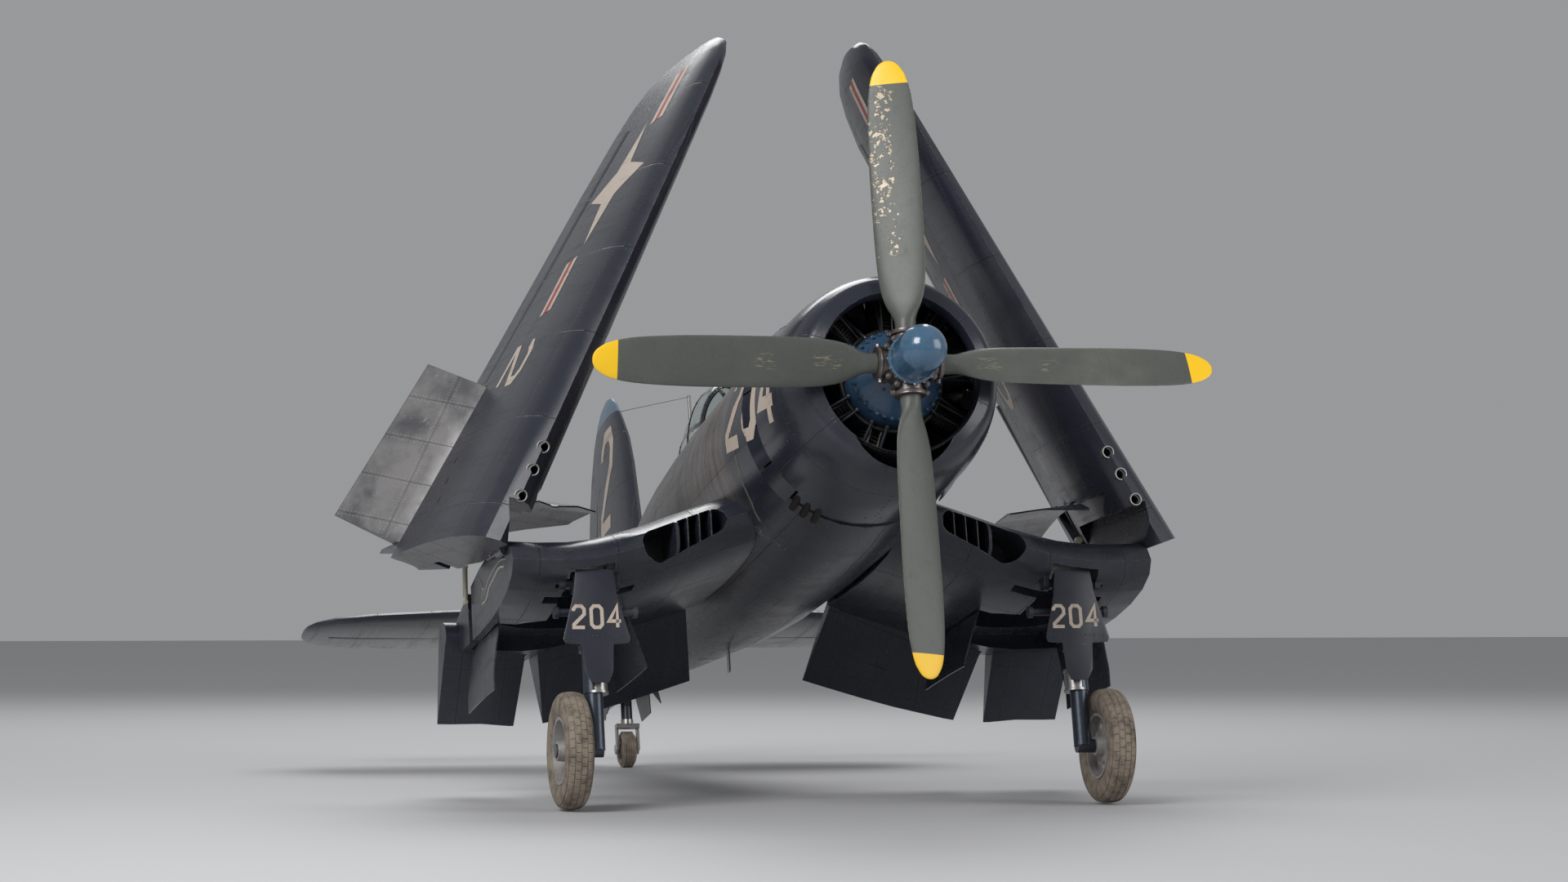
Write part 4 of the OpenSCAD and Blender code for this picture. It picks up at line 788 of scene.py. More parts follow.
def boltHead(radius, height, corners=6, washer=True):
    bpy.ops.mesh.primitive_cylinder_add(vertices=corners, radius=radius, depth=height, location=(0, 0, height / 2))
    head = bpy.context.object
    bpy.ops.object.mode_set(mode="EDIT")
    bpy.ops.mesh.select_all(action="DESELECT")
    bpy.ops.mesh.select_mode(type="FACE")
    bpy.ops.object.mode_set(mode="OBJECT")
    for face in head.data.polygons:
        face.select = face.normal.z > 0.9
    bpy.ops.object.mode_set(mode="EDIT")
    bpy.ops.mesh.inset(thickness=radius * 0.22)
    bpy.ops.transform.translate(value=(0, 0, height * 0.16))
    bpy.ops.object.mode_set(mode="OBJECT")
    if washer:
        bpy.ops.mesh.primitive_cylinder_add(vertices=12, radius=radius * 1.35, depth=height * 0.3,
                                            location=(0, 0, height * 0.15))
        head = joined(bpy.context.object, head)
    bpy.ops.object.transform_apply(location=True, rotation=True, scale=True)
    return head


def copies(part, places):
    made = []
    for place in places:
        copy = part.copy()
        copy.data = part.data.copy()
        copy.matrix_world = place
        bpy.context.scene.collection.objects.link(copy)
        made.append(copy)
    bpy.data.objects.remove(part)
    return joined(*made) if len(made) > 1 else made[0]


def facing(place, direction):
    return Matrix.Translation(place) @ Vector(direction).to_track_quat("Z", "Y").to_matrix().to_4x4()


def wheelRound(radius, angle, y):
    return Vector((radius * math.sin(math.radians(angle)), y, radius * math.cos(math.radians(angle))))


def outwardAt(angle):
    return Vector((math.sin(math.radians(angle)), 0, math.cos(math.radians(angle))))


# ---- propeller: broad blades whose top one leads with its port edge, clamps, studs and dome screws
bladePlan = {     # distance out, chord, thickness, pitch
    "rows": [(42.3, 26, 26, 38), (54, 26.5, 25, 37), (64, 33, 20, 35), (76, 45, 15, 33), (90, 54, 12, 31.5),
             (112, 60.5, 10, 30), (150, 64, 8.6, 29), (215, 65, 7, 27.5), (285, 63.5, 5.6, 25), (345, 57, 4.6, 22.5),
             (378, 45, 3.8, 21), (393, 30, 3.1, 20), (399, 18, 2.5, 20), (401.3, 6, 1.6, 20)],
    "around": 32, "along": 64}


def smoothRow(rows, share):
    place = share * (len(rows) - 1)
    i = min(int(place), len(rows) - 2)
    t = place - i
    ends = [rows[max(0, i - 1)], rows[i], rows[i + 1], rows[min(len(rows) - 1, i + 2)]]
    return [0.5 * (2 * b + (c - a) * t + (2 * a - 5 * b + 4 * c - d) * t * t + (3 * b - a - 3 * c + d) * t ** 3)
            for a, b, c, d in zip(*ends)]


def makeBlades():
    blades = []
    for quarter in range(4):
        def curve(u, v):
            out, chord, thick, pitch = smoothRow(bladePlan["rows"], v)
            t, p = 2 * math.pi * u, math.radians(pitch)
            slim = min(1.0, max(0.0, (out - 50) / 60))     # round shank, then a section flatter behind
            a = chord / 2 * math.cos(t)
            b = thick / 2 * math.sin(t) * (1 - 0.45 * slim * (math.sin(t) > 0)) * (1 - 0.12 * slim * math.cos(t))
            return Vector((a * math.cos(p) + b * math.sin(p), b * math.cos(p) - a * math.sin(p), out)) / 1000
        blade = sheetPiece("blade", bladePlan["around"], bladePlan["along"], curve)
        closeTube(blade)
        blade.matrix_world = Matrix.Rotation(math.radians(90 * quarter), 4, "Y")
        blades.append(blade)
    whole = settle(joined(*blades), "propellerBlades", "blade", "propeller", smooth=50)
    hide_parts("propeller_blades")


hubPlan = {"clampAt": 0.0385, "clamp": 0.0188, "wire": 0.0021, "nutOut": 0.029, "nutSide": 0.019,
           "nutFaces": (-0.011, 0.0075), "endNut": (0.0375, 0.0205), "nut": (0.0031, 0.0042),
           "domeScrews": 16, "domeAt": (0.0312, -0.0222), "screw": (0.0014, 0.0022),
           "flangeNuts": 8, "flangeAt": (0.0305, -0.006)}


def makeHubTrim():
    clamps, nuts = [], []
    for i in range(4):
        way = outwardAt(90 * i)
        side = outwardAt(90 * i + 90)
        bpy.ops.mesh.primitive_torus_add(major_segments=36, minor_segments=10, major_radius=hubPlan["clamp"],
                                         minor_radius=hubPlan["wire"])
        clamp = bpy.context.object
        clamp.matrix_world = facing(way * hubPlan["clampAt"], way)
        clamps.append(clamp)
        for sign in (-1, 1):
            for y in hubPlan["nutFaces"]:
                place = way * hubPlan["nutOut"] + side * hubPlan["nutSide"] * sign + Vector((0, y, 0))
                nuts.append(facing(place, (0, math.copysign(1, y), 0)))
            out, across = hubPlan["endNut"]
            nuts.append(facing(way * out + side * across * sign, side * sign))
    for i in range(hubPlan["flangeNuts"]):
        angle = 360 * (i + 0.5) / hubPlan["flangeNuts"]
        radius, y = hubPlan["flangeAt"]
        nuts.append(facing(wheelRound(radius, angle, y), outwardAt(angle)))
    screws = []
    for i in range(hubPlan["domeScrews"]):
        angle = 360 * i / hubPlan["domeScrews"]
        radius, y = hubPlan["domeAt"]
        screws.append(facing(wheelRound(radius, angle, y), outwardAt(angle)))
    heads = copies(boltHead(*hubPlan["nut"]), nuts)
    settle(joined(heads, *clamps), "hubClampsAndNuts", "hub", "propeller")
    settle(copies(boltHead(*hubPlan["screw"], washer=False), screws), "domeScrews", "steel", "propeller")


makeBlades()
makeHubTrim()
print("propeller dressed")

# ---- engine: pushrod tubes, crankcase nuts, plug leads and cowl baffles
enginePlan = {     # out from the crankshaft, share of pushSide across, y
    "cylinders": 9, "pushSide": 0.0118, "push": 0.0021, "pushFoot": (0.060, 0.85, 0.069),
    "pushTop": (0.1125, 1.12, 0.0925), "collars": (0.02, 0.93), "collar": (0.0034, 0.0030),
    "leadFrom": (0.1145, 0.007, 0.080), "leadTo": (0.1165, 0.0045, 0.0925), "bow": 0.004, "lead": 0.0013,
    "nutRings": ((0.0575, 0.0502, 10, 18), (0.0345, 0.0322, 15, 12)),     # radius, y, first angle, count
    "nut": (0.0017, 0.0022), "baffle": (0.100, 0.022, 14), "baffleAt": (0.0935, 0.010, 0.004)}


def makeEngineTrim():
    tubes, leads, caps = [], [], []
    for i in range(enginePlan["cylinders"]):
        angle = 360 * i / enginePlan["cylinders"]
        out, side = outwardAt(angle), outwardAt(angle + 90)

        def spot(reach, across, y):
            return out * reach + across + Vector((0, y, 0))
        for sign in (-1, 1):
            foot, top = [spot(reach, side * enginePlan["pushSide"] * sign * share, y)
                         for reach, share, y in (enginePlan["pushFoot"], enginePlan["pushTop"])]
            tubes.append(tube([foot, foot.lerp(top, 0.5), top], enginePlan["push"], False))
            caps += [facing(foot + (top - foot) * share, top - foot) for share in enginePlan["collars"]]
            start, end = [spot(reach, side * across * sign, y)
                          for reach, across, y in (enginePlan["leadFrom"], enginePlan["leadTo"])]
            bow = out * enginePlan["bow"] + Vector((0, enginePlan["bow"], 0))
            leads.append(tube([start, start + bow, end], enginePlan["lead"]))
    rings = copies(boltHead(*enginePlan["collar"], corners=12, washer=False), caps)
    settle(joined(rings, *tubes), "pushrodTubes", "darkSteel", "airframe")
    settle(joined(*leads), "plugLeads", "harness", "airframe")
    nuts = []
    for radius, y, first, count in enginePlan["nutRings"]:
        nuts += [facing(wheelRound(radius, first + 360 / count * i, y), (0, -1, 0)) for i in range(count)]
    settle(copies(boltHead(*enginePlan["nut"]), nuts), "crankcaseNuts", "crankcase", "airframe")
    baffles = []
    for i in range(enginePlan["cylinders"]):     # curved air baffles between the cylinder heads
        middle = 360 * (i + 0.5) / enginePlan["cylinders"]

        def curve(u, v, middle=middle):
            radius, deep, wide = enginePlan["baffle"]
            y, bulge, slant = enginePlan["baffleAt"]
            return wheelRound(radius + deep * v, middle + (u - 0.5) * wide,
                              y + bulge * math.cos((u - 0.5) * math.pi) + slant * v)
        baffles.append(sheetPiece("baffle", 9, 4, curve, 0.0008))
    settle(joined(*baffles), "airBaffles", "black", "airframe")


makeEngineTrim()
print("engine dressed")

# ---- cowl: rows of quarter-turn fasteners, exhaust stubs below the last cowl flap on each side
cowlPlan = {"lipY": 0.034, "depth": 0.141, "lip": 0.105, "grow": 0.042, "power": 1 / 1.3,
            "rearHeads": 44, "rearAt": (0.1468, 0.1985), "rows": (62, 118, 180, 242, 298), "rowHeads": 9,
            "rowStart": 0.080, "rowStep": 0.0135, "sunk": 0.0002, "head": (0.0013, 0.0005)}
stubPlan = {"count": 3, "first": 141, "step": 6.2, "from": (0.1425, 0.215), "to": (0.1508, 0.252), "splay": 1.5,
            "radius": 0.0050, "wall": 0.0011}


def cowlRadius(y):
    share = min(1.0, max(0.0, (y - cowlPlan["lipY"]) / cowlPlan["depth"])) ** cowlPlan["power"]
    return cowlPlan["lip"] + cowlPlan["grow"] * math.sqrt(max(0.0, 1 - (1 - share) ** 2))


def makeCowlTrim():
    heads = []
    for i in range(cowlPlan["rearHeads"]):
        angle = 360 * (i + 0.5) / cowlPlan["rearHeads"]
        radius, y = cowlPlan["rearAt"]
        heads.append(facing(wheelRound(radius, angle, y), outwardAt(angle)))
    for angle in cowlPlan["rows"]:
        for k in range(cowlPlan["rowHeads"]):
            y = cowlPlan["rowStart"] + cowlPlan["rowStep"] * k
            slope = (cowlRadius(y + 0.001) - cowlRadius(y - 0.001)) / 0.002
            heads.append(facing(wheelRound(cowlRadius(y) - cowlPlan["sunk"], angle, y),
                                outwardAt(angle) - Vector((0, slope, 0))))
    settle(copies(boltHead(*cowlPlan["head"], corners=10, washer=False), heads), "cowlFasteners", "gearPaint",
           "airframe")


def makeExhausts(side):
    sign = sides[side]
    stubs = []
    for k in range(stubPlan["count"]):
        angle = sign * (stubPlan["first"] + stubPlan["step"] * k)
        start = wheelRound(stubPlan["from"][0], angle, stubPlan["from"][1])
        end = wheelRound(stubPlan["to"][0], angle + sign * stubPlan["splay"], stubPlan["to"][1])
        bpy.ops.mesh.primitive_cylinder_add(vertices=20, radius=stubPlan["radius"], depth=(end - start).length,
                                            end_fill_type="NOTHING")
        stub = bpy.context.object
        wall = stub.modifiers.new("wall", "SOLIDIFY")
        wall.thickness = stubPlan["wall"]
        applyAll(stub)
        stub.matrix_world = facing((start + end) / 2, end - start)
        stubs.append(stub)
    settle(joined(*stubs), "exhaustStubs" + side.capitalize(), "exhaust", "airframe")


makeCowlTrim()
for side in sides:
    makeExhausts(side)

# ---- chin intake: the mouth's ring carried on across it, its worn rim, and the cooler's face behind
chinPlan = {"ring": (0.1035, 0.0435), "flare": 0.003, "deep": 0.045, "from": 141, "across": 78,
            "rim": 0.0728, "rimAt": (0.0478, -0.0543), "rimReach": 126, "rimSteps": 24, "rimWire": 0.0016,
            "cooler": (0.110, 0.088, -0.0875), "coolerDrop": 0.034, "coolerHalf": 0.06, "coolerGap": 0.004}


def makeChin():
    def divider(u, v):
        radius, y = chinPlan["ring"]
        return wheelRound(radius + chinPlan["flare"] * v, chinPlan["from"] + chinPlan["across"] * u,
                          y + chinPlan["deep"] * v)
    settle(sheetPiece("divider", 40, 6, divider, 0.0018), "chinDivider", "cowl", "airframe")
    arc = []
    y, z = chinPlan["rimAt"]
    for k in range(chinPlan["rimSteps"] + 1):
        angle = math.radians(180 - chinPlan["rimReach"] / 2 + chinPlan["rimReach"] * k / chinPlan["rimSteps"])
        arc.append((chinPlan["rim"] * math.sin(angle), y, z + chinPlan["rim"] * math.cos(angle)))
    settle(tube(arc, chinPlan["rimWire"]), "chinRim", "wornNavy", "airframe")

    def screen(u, v):
        wide, y, z = chinPlan["cooler"]
        x = (u - 0.5) * wide
        bow = math.sqrt(max(0.0, 1 - (x / chinPlan["coolerHalf"]) ** 2))
        return x, y, z - v * chinPlan["coolerDrop"] * bow - chinPlan["coolerGap"]
    settle(sheetPiece("screen", 24, 8, screen, 0.001), "chinCooler", "exhaust", "airframe")


makeChin()

# ---- main tyres: a round carcass cut into flat staggered tread blocks by shallow grooves
tyrePlan = {
    "wheel": (0.365, 0.409, -0.404), "across": 96, "around": 480, "blocks": 40, "groove": 0.0013,
    "treadHalf": 0.0160, "treadFrom": 0.068, "row": 0.0080, "rowGap": 0.00075, "blockGap": 0.075,
    # half outline from the rim's seat over the shoulder to the crown: across, radius
    "outline": [(0.0140, 0.0443), (0.0166, 0.0490), (0.0182, 0.0540), (0.0188, 0.0600), (0.0181, 0.0655),
                (0.0166, 0.0694), (0.0146, 0.0724), (0.0118, 0.0743), (0.0080, 0.0755), (0.0040, 0.0760),
                (0.0, 0.0762)]}


def makeTyre(side):
    outline = tyrePlan["outline"]
    whole = outline + [(-x, r) for x, r in reversed(outline[:-1])]

    def curve(u, v):
        spot = u * (len(whole) - 1)
        i = min(int(spot), len(whole) - 2)
        x = whole[i][0] + (whole[i + 1][0] - whole[i][0]) * (spot - i)
        r = whole[i][1] + (whole[i + 1][1] - whole[i][1]) * (spot - i)
        if abs(x) < tyrePlan["treadHalf"] and r > tyrePlan["treadFrom"]:
            row = (x + tyrePlan["treadHalf"]) / tyrePlan["row"]
            block = v * tyrePlan["blocks"] + 0.5 * (int(row) % 2)
            if (min(row % 1, 1 - row % 1) * tyrePlan["row"] < tyrePlan["rowGap"]
                    or min(block % 1, 1 - block % 1) < tyrePlan["blockGap"]):
                r -= tyrePlan["groove"]
        turnBy = 2 * math.pi * v
        return x, r * math.cos(turnBy), r * math.sin(turnBy)
    tyre = sheetPiece("tyre", tyrePlan["across"], tyrePlan["around"], curve)
    closeTube(tyre, bridged=True)
    x, y, z = tyrePlan["wheel"]
    tyre.matrix_world = Matrix.Translation((sides[side] * x, y, z))
    settle(tyre, "tyre" + side.capitalize(), "tyre", "main_wheel_" + side, smooth=28)
    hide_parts("main_tyre_" + side)


for side in sides:
    makeTyre(side)
print("tyres made")

# ---- wheel-leg fairings: a stepped plate with rolled edges and rows of rivets
fairingPlan = {"x": 0.327, "y": 0.386, "thick": 0.0019, "rolled": 0.0007, "rivet": (0.00085, 0.0005),
               "pitch": 0.0065, "inset": 0.0034, "row": {"count": 13, "pitch": 0.0062, "y": 0.3859, "z": -0.2575},
               "outline": [(-25, -169), (25, -169), (29, -200), (45.5, -261), (42.5, -267), (21, -268.5), (18.6, -304),
                           (10.5, -319), (-12.5, -319), (-18.6, -304), (-21, -268.5), (-41, -267), (-43.5, -261),
                           (-28, -200)]}


def makeFairing(side):
    sign = sides[side]
    middleY = fairingPlan["y"] + fairingPlan["thick"] / 2
    corners = [((x / 1000 + fairingPlan["x"]) * sign, middleY, z / 1000) for x, z in fairingPlan["outline"]]
    plate = flatPiece("fairing", corners, [tuple(range(len(corners)))])
    wall = plate.modifiers.new("wall", "SOLIDIFY")
    wall.thickness = fairingPlan["thick"]
    wall.offset = 0.0
    rolled = plate.modifiers.new("rolled", "BEVEL")
    rolled.width = fairingPlan["rolled"]
    rolled.segments = 2
    applyAll(plate)
    settle(plate, "fairing" + side.capitalize(), "fairing", "gear_leg_" + side)
    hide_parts("gear_fairing_" + side)
    middle = Vector((fairingPlan["x"] * sign, 0, 0))
    rivets = []
    for first, second in zip(corners, corners[1:] + corners[:1]):
        first, second = Vector(first), Vector(second)
        steps = int((second - first).length / fairingPlan["pitch"])
        for k in range(steps):
            spot = first.lerp(second, (k + 0.5) / steps)
            inward = Vector((middle.x - spot.x, 0, 0)).normalized() * fairingPlan["inset"]
            rivets.append(facing(spot + inward + Vector((0, -0.0001, 0)), (0, -1, 0)))
    row = fairingPlan["row"]
    for k in range(row["count"]):
        x = fairingPlan["x"] + (k - row["count"] // 2) * row["pitch"]
        rivets.append(facing((x * sign, row["y"], row["z"]), (0, -1, 0)))
    settle(copies(boltHead(*fairingPlan["rivet"], corners=8, washer=False), rivets),
           "fairingRivets" + side.capitalize(), "gearPaint", "gear_leg_" + side)


for side in sides:
    makeFairing(side)
print("cowl, tyres and leg fairings dressed")

# ---- the rubbed seam round the front of each wing root
rootPlan = {"radius": 0.156, "wide": 0.0055, "step": 0.006,
            "path": [(0.334, 0.01), (0.322, 0.003), (0.318, -0.012), (0.320, -0.04), (0.328, -0.07),
                     (0.342, -0.10), (0.362, -0.125)]}     # y, distance up round the fuselage


def rootSkin(sign):
    radius = rootPlan["radius"]
    return lambda y, up: (sign * radius * math.cos(up / radius), y, radius * math.sin(up / radius))


for side, sign in sides.items():
    corners, faces = ribbonMesh([rootPlan["path"]], rootPlan["wide"], rootPlan["step"])
    layOnSkin(flatPiece("rootSeam", corners, faces), "rootSeam" + side.capitalize(), "rubbedSeam", "airframe",
              ["fuselage"], rootSkin(sign), airframe, lift=0.0002)

# ---- gun ports: worn metal blast tubes in the outer wings' leading edges
gunPlan = {"along": (0.068, 0.107, 0.141), "outer": 0.0088, "inner": 0.0068, "length": 0.011, "sunk": 0.0062,
           "lift": 0.0015, "way": (0, -1, -0.22)}


def makeGunPorts(side):
    rims = []
    for along in gunPlan["along"]:
        bpy.ops.mesh.primitive_cylinder_add(vertices=32, radius=gunPlan["outer"], depth=gunPlan["length"],
                                            end_fill_type="NOTHING")
        rim = bpy.context.object
        wall = rim.modifiers.new("wall", "SOLIDIFY")
        wall.thickness = gunPlan["outer"] - gunPlan["inner"]
        rolled = rim.modifiers.new("rolled", "BEVEL")
        rolled.width = 0.0006
        rolled.segments = 2
        applyAll(rim)
        leading, height = panelLeading(along)
        rim.matrix_world = facing((sides[side] * (panelForm["foldX"] + along), leading + gunPlan["sunk"],
                                   height + gunPlan["lift"]), gunPlan["way"])
        rims.append(rim)
    settle(joined(*rims), "gunPorts" + side.capitalize(), "wornSteel", "outer_wing_" + side, stand=panel[side])


for side in sides:
    makeGunPorts(side)

# ---- glazing: a blown sliding hood and a windshield with a flat middle pane
glazingPlan = {
    "sill": 0.1376, "glass": 0.0012, "frame": 0.0026, "arch": 0.85, "rail": 6, "bars": (62, 118), "barHalf": 3.2,
    "screws": 15, "screwsFrom": 12, "screw": (0.0009, 0.0006),
    "screenBands": ((0.808, 0.812), (0.857, 0.863)), "hoodBands": ((0.8638, 0.870), (0.936, 0.941), (1.007, 1.014)),
    "screen": [(0.808, 0.0335, 0.1565), (0.826, 0.043, 0.189), (0.846, 0.051, 0.215), (0.8630, 0.0565, 0.231)],
    "hood": [(0.8638, 0.0565, 0.231), (0.884, 0.0582, 0.240), (0.905, 0.0592, 0.245), (0.940, 0.0592, 0.246),
             (0.975, 0.0582, 0.236), (1.0140, 0.0560, 0.211)]}


def rowAt(rows, y, column):
    for first, second in zip(rows, rows[1:]):
        if y <= second[0] or second is rows[-1]:
            share = (y - first[0]) / (second[0] - first[0])
            return first[column] + (second[column] - first[column]) * share


def archPoint(rows, y, angle, grow=0.0):
    half, top = rowAt(rows, y, 1) + grow, rowAt(rows, y, 2) + grow
    sill = glazingPlan["sill"]
    return -half * math.cos(angle), y, sill + (top - sill) * abs(math.sin(angle)) ** glazingPlan["arch"]


def glazingPatch(rows, low, high, start, end, grow, across, along):
    def curve(u, v):
        return archPoint(rows, low + (high - low) * v, math.radians(start + (end - start) * u), grow)
    return sheetPiece("patch", across, along, curve)


def finishPatches(patches, thick, name, finishName, body, replaced):
    whole = joined(*patches)
    selectOnly(whole)
    bpy.ops.object.mode_set(mode="EDIT")
    bpy.ops.mesh.select_all(action="SELECT")
    bpy.ops.mesh.normals_make_consistent(inside=False)
    bpy.ops.object.mode_set(mode="OBJECT")
    wall = whole.modifiers.new("wall", "SOLIDIFY")
    wall.thickness = thick
    wall.offset = 0.0
    applyAll(whole)
    settle(whole, name, finishName, body)
    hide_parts(*replaced)


def makeGlazing():
    inset = -glazingPlan["frame"] / 2
    rail, count, first = glazingPlan["rail"], glazingPlan["screws"], glazingPlan["screwsFrom"]
    for part, body, shape, bars, glassNode, frameNode in (
            ("windshield", "airframe", "screen", glazingPlan["bars"], "windshield_glass", "windshield"),
            ("hood", "canopy", "hood", (), "canopy_glass", "canopy_frame")):
        rows, bands = glazingPlan[shape], glazingPlan[shape + "Bands"]
        low, high = rows[0][0], rows[-1][0]
        finishPatches([glazingPatch(rows, low, high, 0.5, 179.5, inset, 64, 24)], glazingPlan["glass"], part + "Glass",
                      "glass", body, [glassNode])
        patches = [glazingPatch(rows, a, b, 0, 180, inset, 64, 3) for a, b in bands]
        spans = [(0, rail), (180 - rail, 180)]
        spans += [(bar - glazingPlan["barHalf"], bar + glazingPlan["barHalf"]) for bar in bars]
        patches += [glazingPatch(rows, low, high, start, end, inset, 4, 24) for start, end in spans]
        finishPatches(patches, glazingPlan["frame"], part + "Frame", "cowl", body, [frameNode])
        screws = []
        for a, b in bands:
            for k in range(count):
                t = math.radians(first + (180 - 2 * first) * k / (count - 1))
                spot = Vector(archPoint(rows, (a + b) / 2, t)) - Vector((0, 0, 0.0001))
                screws.append(facing(spot, (-math.cos(t), 0, math.sin(t))))
        settle(copies(boltHead(*glazingPlan["screw"], corners=8, washer=False), screws), part + "Screws", "gearPaint",
               body)


makeGlazing()
print("glazing made")

# ---- cockpit: instruments, gunsight, stick grip, throttle and belts
cockpitPlan = {
    "panelY": 0.8563, "columns": (-0.031, -0.0155, 0.0, 0.0155, 0.031), "rows": (0.1245, 0.1105),
    "dial": 0.0058, "smallDial": 0.82, "bezel": 0.0009, "needle": 0.0003, "needleReach": 0.7,
    "sight": ((-0.007, 0.838, 0.1505), (0.007, 0.856, 0.1600)), "lens": [(0, 0.848, 0.159), (0, 0.848, 0.166)],
    "lensRadius": 0.0052, "plate": ((-0.0075, -0.0005, 0), (0.0075, 0.0005, 0.015)),
    "plateAt": (0, 0.845, 0.167), "plateLean": 35,
    "grip": [(0, 0.895, 0.098), (0, 0.8955, 0.108), (0, 0.893, 0.117)], "gripRadius": 0.0044,
    "levers": (0.0, 0.009), "buckle": ((-0.004, 0.941, 0.0885), (0.004, 0.950, 0.0915)), "belt": 0.0009}


def boxPiece(low, high, soften=0.0006):
    middle = [(a + b) / 2 for a, b in zip(low, high)]
    bpy.ops.mesh.primitive_cube_add(size=1, location=middle, scale=[b - a for a, b in zip(low, high)])
    box = bpy.context.object
    bpy.ops.object.transform_apply(location=True, rotation=True, scale=True)
    edge = box.modifiers.new("edge", "BEVEL")
    edge.width = soften
    edge.segments = 2
    applyAll(box)
    return box


def makeDials():
    bezels, faces, needles = [], [], []
    panelY = cockpitPlan["panelY"]
    for i, x in enumerate(cockpitPlan["columns"]):
        for k, z in enumerate(cockpitPlan["rows"]):
            size = cockpitPlan["dial"] * (1.0 if (i + k) % 2 else cockpitPlan["smallDial"])
            bpy.ops.mesh.primitive_torus_add(major_segments=24, minor_segments=8, major_radius=size,
                                             minor_radius=cockpitPlan["bezel"])
            bezel = bpy.context.object
            bezel.matrix_world = facing((x, panelY, z), (0, 1, 0))
            bezels.append(bezel)
            face = boltHead(size, 0.0006, corners=20, washer=False)
            face.matrix_world = facing((x, panelY - 0.0003, z), (0, 1, 0))
            faces.append(face)
            angle = math.radians(35 + 71 * i + 118 * k)     # each needle stands at its own reading
            reachOut = size * cockpitPlan["needleReach"]
            tip = Vector((x + reachOut * math.cos(angle), panelY + 0.0006, z + reachOut * math.sin(angle)))
            needles.append(tube([(x, panelY + 0.0006, z), tip], cockpitPlan["needle"], False))
    settle(joined(*bezels), "dialBezels", "steel", "airframe")
    settle(joined(*faces), "dialFaces", "black", "airframe")
    settle(joined(*needles), "dialNeedles", "ivory", "airframe")


def makeControls():
    sight = [boxPiece(*cockpitPlan["sight"]), tube(cockpitPlan["lens"], cockpitPlan["lensRadius"], False)]
    settle(joined(*sight), "gunsightBody", "black", "airframe")
    plate = boxPiece(*cockpitPlan["plate"], 0.0003)
    plate.matrix_world = Matrix.Translation(cockpitPlan["plateAt"]) @ turn(cockpitPlan["plateLean"], "X")
    settle(plate, "gunsightPlate", "glass", "airframe")
    grips = [tube(cockpitPlan["grip"], cockpitPlan["gripRadius"])]
    for dy in cockpitPlan["levers"]:
        grips.append(tube([(0.038, 0.888 + dy, 0.095), (0.038, 0.884 + dy, 0.107)], 0.0012, False))
        grips.append(tube([(0.035, 0.884 + dy, 0.108), (0.041, 0.884 + dy, 0.108)], 0.0026, False))
    settle(joined(*grips), "stickAndThrottle", "black", "airframe")


def makeBelts():
    belts = []
    for sign in (-1, 1):
        def shoulder(u, v, sign=sign):     # down the seat's back
            return (sign * (0.0115 - 0.004 * v) + (u - 0.5) * 0.007,
                    0.9758 - 0.004 * math.sin(v * math.pi) - 0.008 * v, 0.166 - v * 0.078)

        def lap(u, v, sign=sign):     # across the seat's pan to the buckle
            return (sign * (0.0185 - 0.0155 * v), 0.958 - 0.012 * v + (u - 0.5) * 0.008,
                    0.0835 + 0.006 * math.sin(v * math.pi * 0.6))
        belts.append(sheetPiece("belt", 3, 14, shoulder, cockpitPlan["belt"]))
        belts.append(sheetPiece("belt", 3, 10, lap, cockpitPlan["belt"]))
    settle(joined(*belts), "seatBelts", "webbing", "airframe")
    settle(boxPiece(*cockpitPlan["buckle"]), "beltBuckle", "steel", "airframe")


makeDials()
makeControls()
makeBelts()

# ---- fold joint: pipes, unions and a return spring on the end of each centre wing
foldPlan = {"x": 0.4358, "axis": (0.399, -0.137), "rise": 0.1228,
            "pipes": [("wornSteel", 0.0016, [(0.42, -0.012), (0.45, -0.009), (0.49, -0.012), (0.53, -0.020),
                                             (0.56, -0.030), (0.58, -0.042)]),
                      ("ivory", 0.0016, [(0.44, -0.020), (0.47, -0.018), (0.51, -0.027), (0.545, -0.036),
                                         (0.57, -0.049), (0.60, -0.052)]),
                      ("wornSteel", 0.0014, [(0.62, -0.012), (0.60, -0.020), (0.59, -0.034), (0.60, -0.045)])],
            "raised": [(0.0012, [(0.425, 0.0, 0.004), (0.435, 0.005, 0.003), (0.47, 0.006, 0.006),
                                 (0.50, 0.005, 0.005), (0.512, 0.0, 0.004)]),
                       (0.0012, [(0.43, 0.0, 0.009), (0.442, 0.004, 0.010), (0.48, 0.005, 0.011),
                                 (0.53, 0.003, 0.007), (0.54, 0.0, 0.006)])],
            "unions": ((0.436, 0.004), (0.50, 0.004), (0.452, 0.008)), "union": (0.0030, 0.0068),
            "spring": (0.446, 0.530, 0.0015), "coilOut": 0.0042, "coil": 0.0018, "coilWire": 0.0005,
            "coilTurns": 18, "coilSteps": 6}


def foldHeight(y, above):
    return foldPlan["axis"][1] + (y - foldPlan["axis"][0]) * foldPlan["rise"] + above


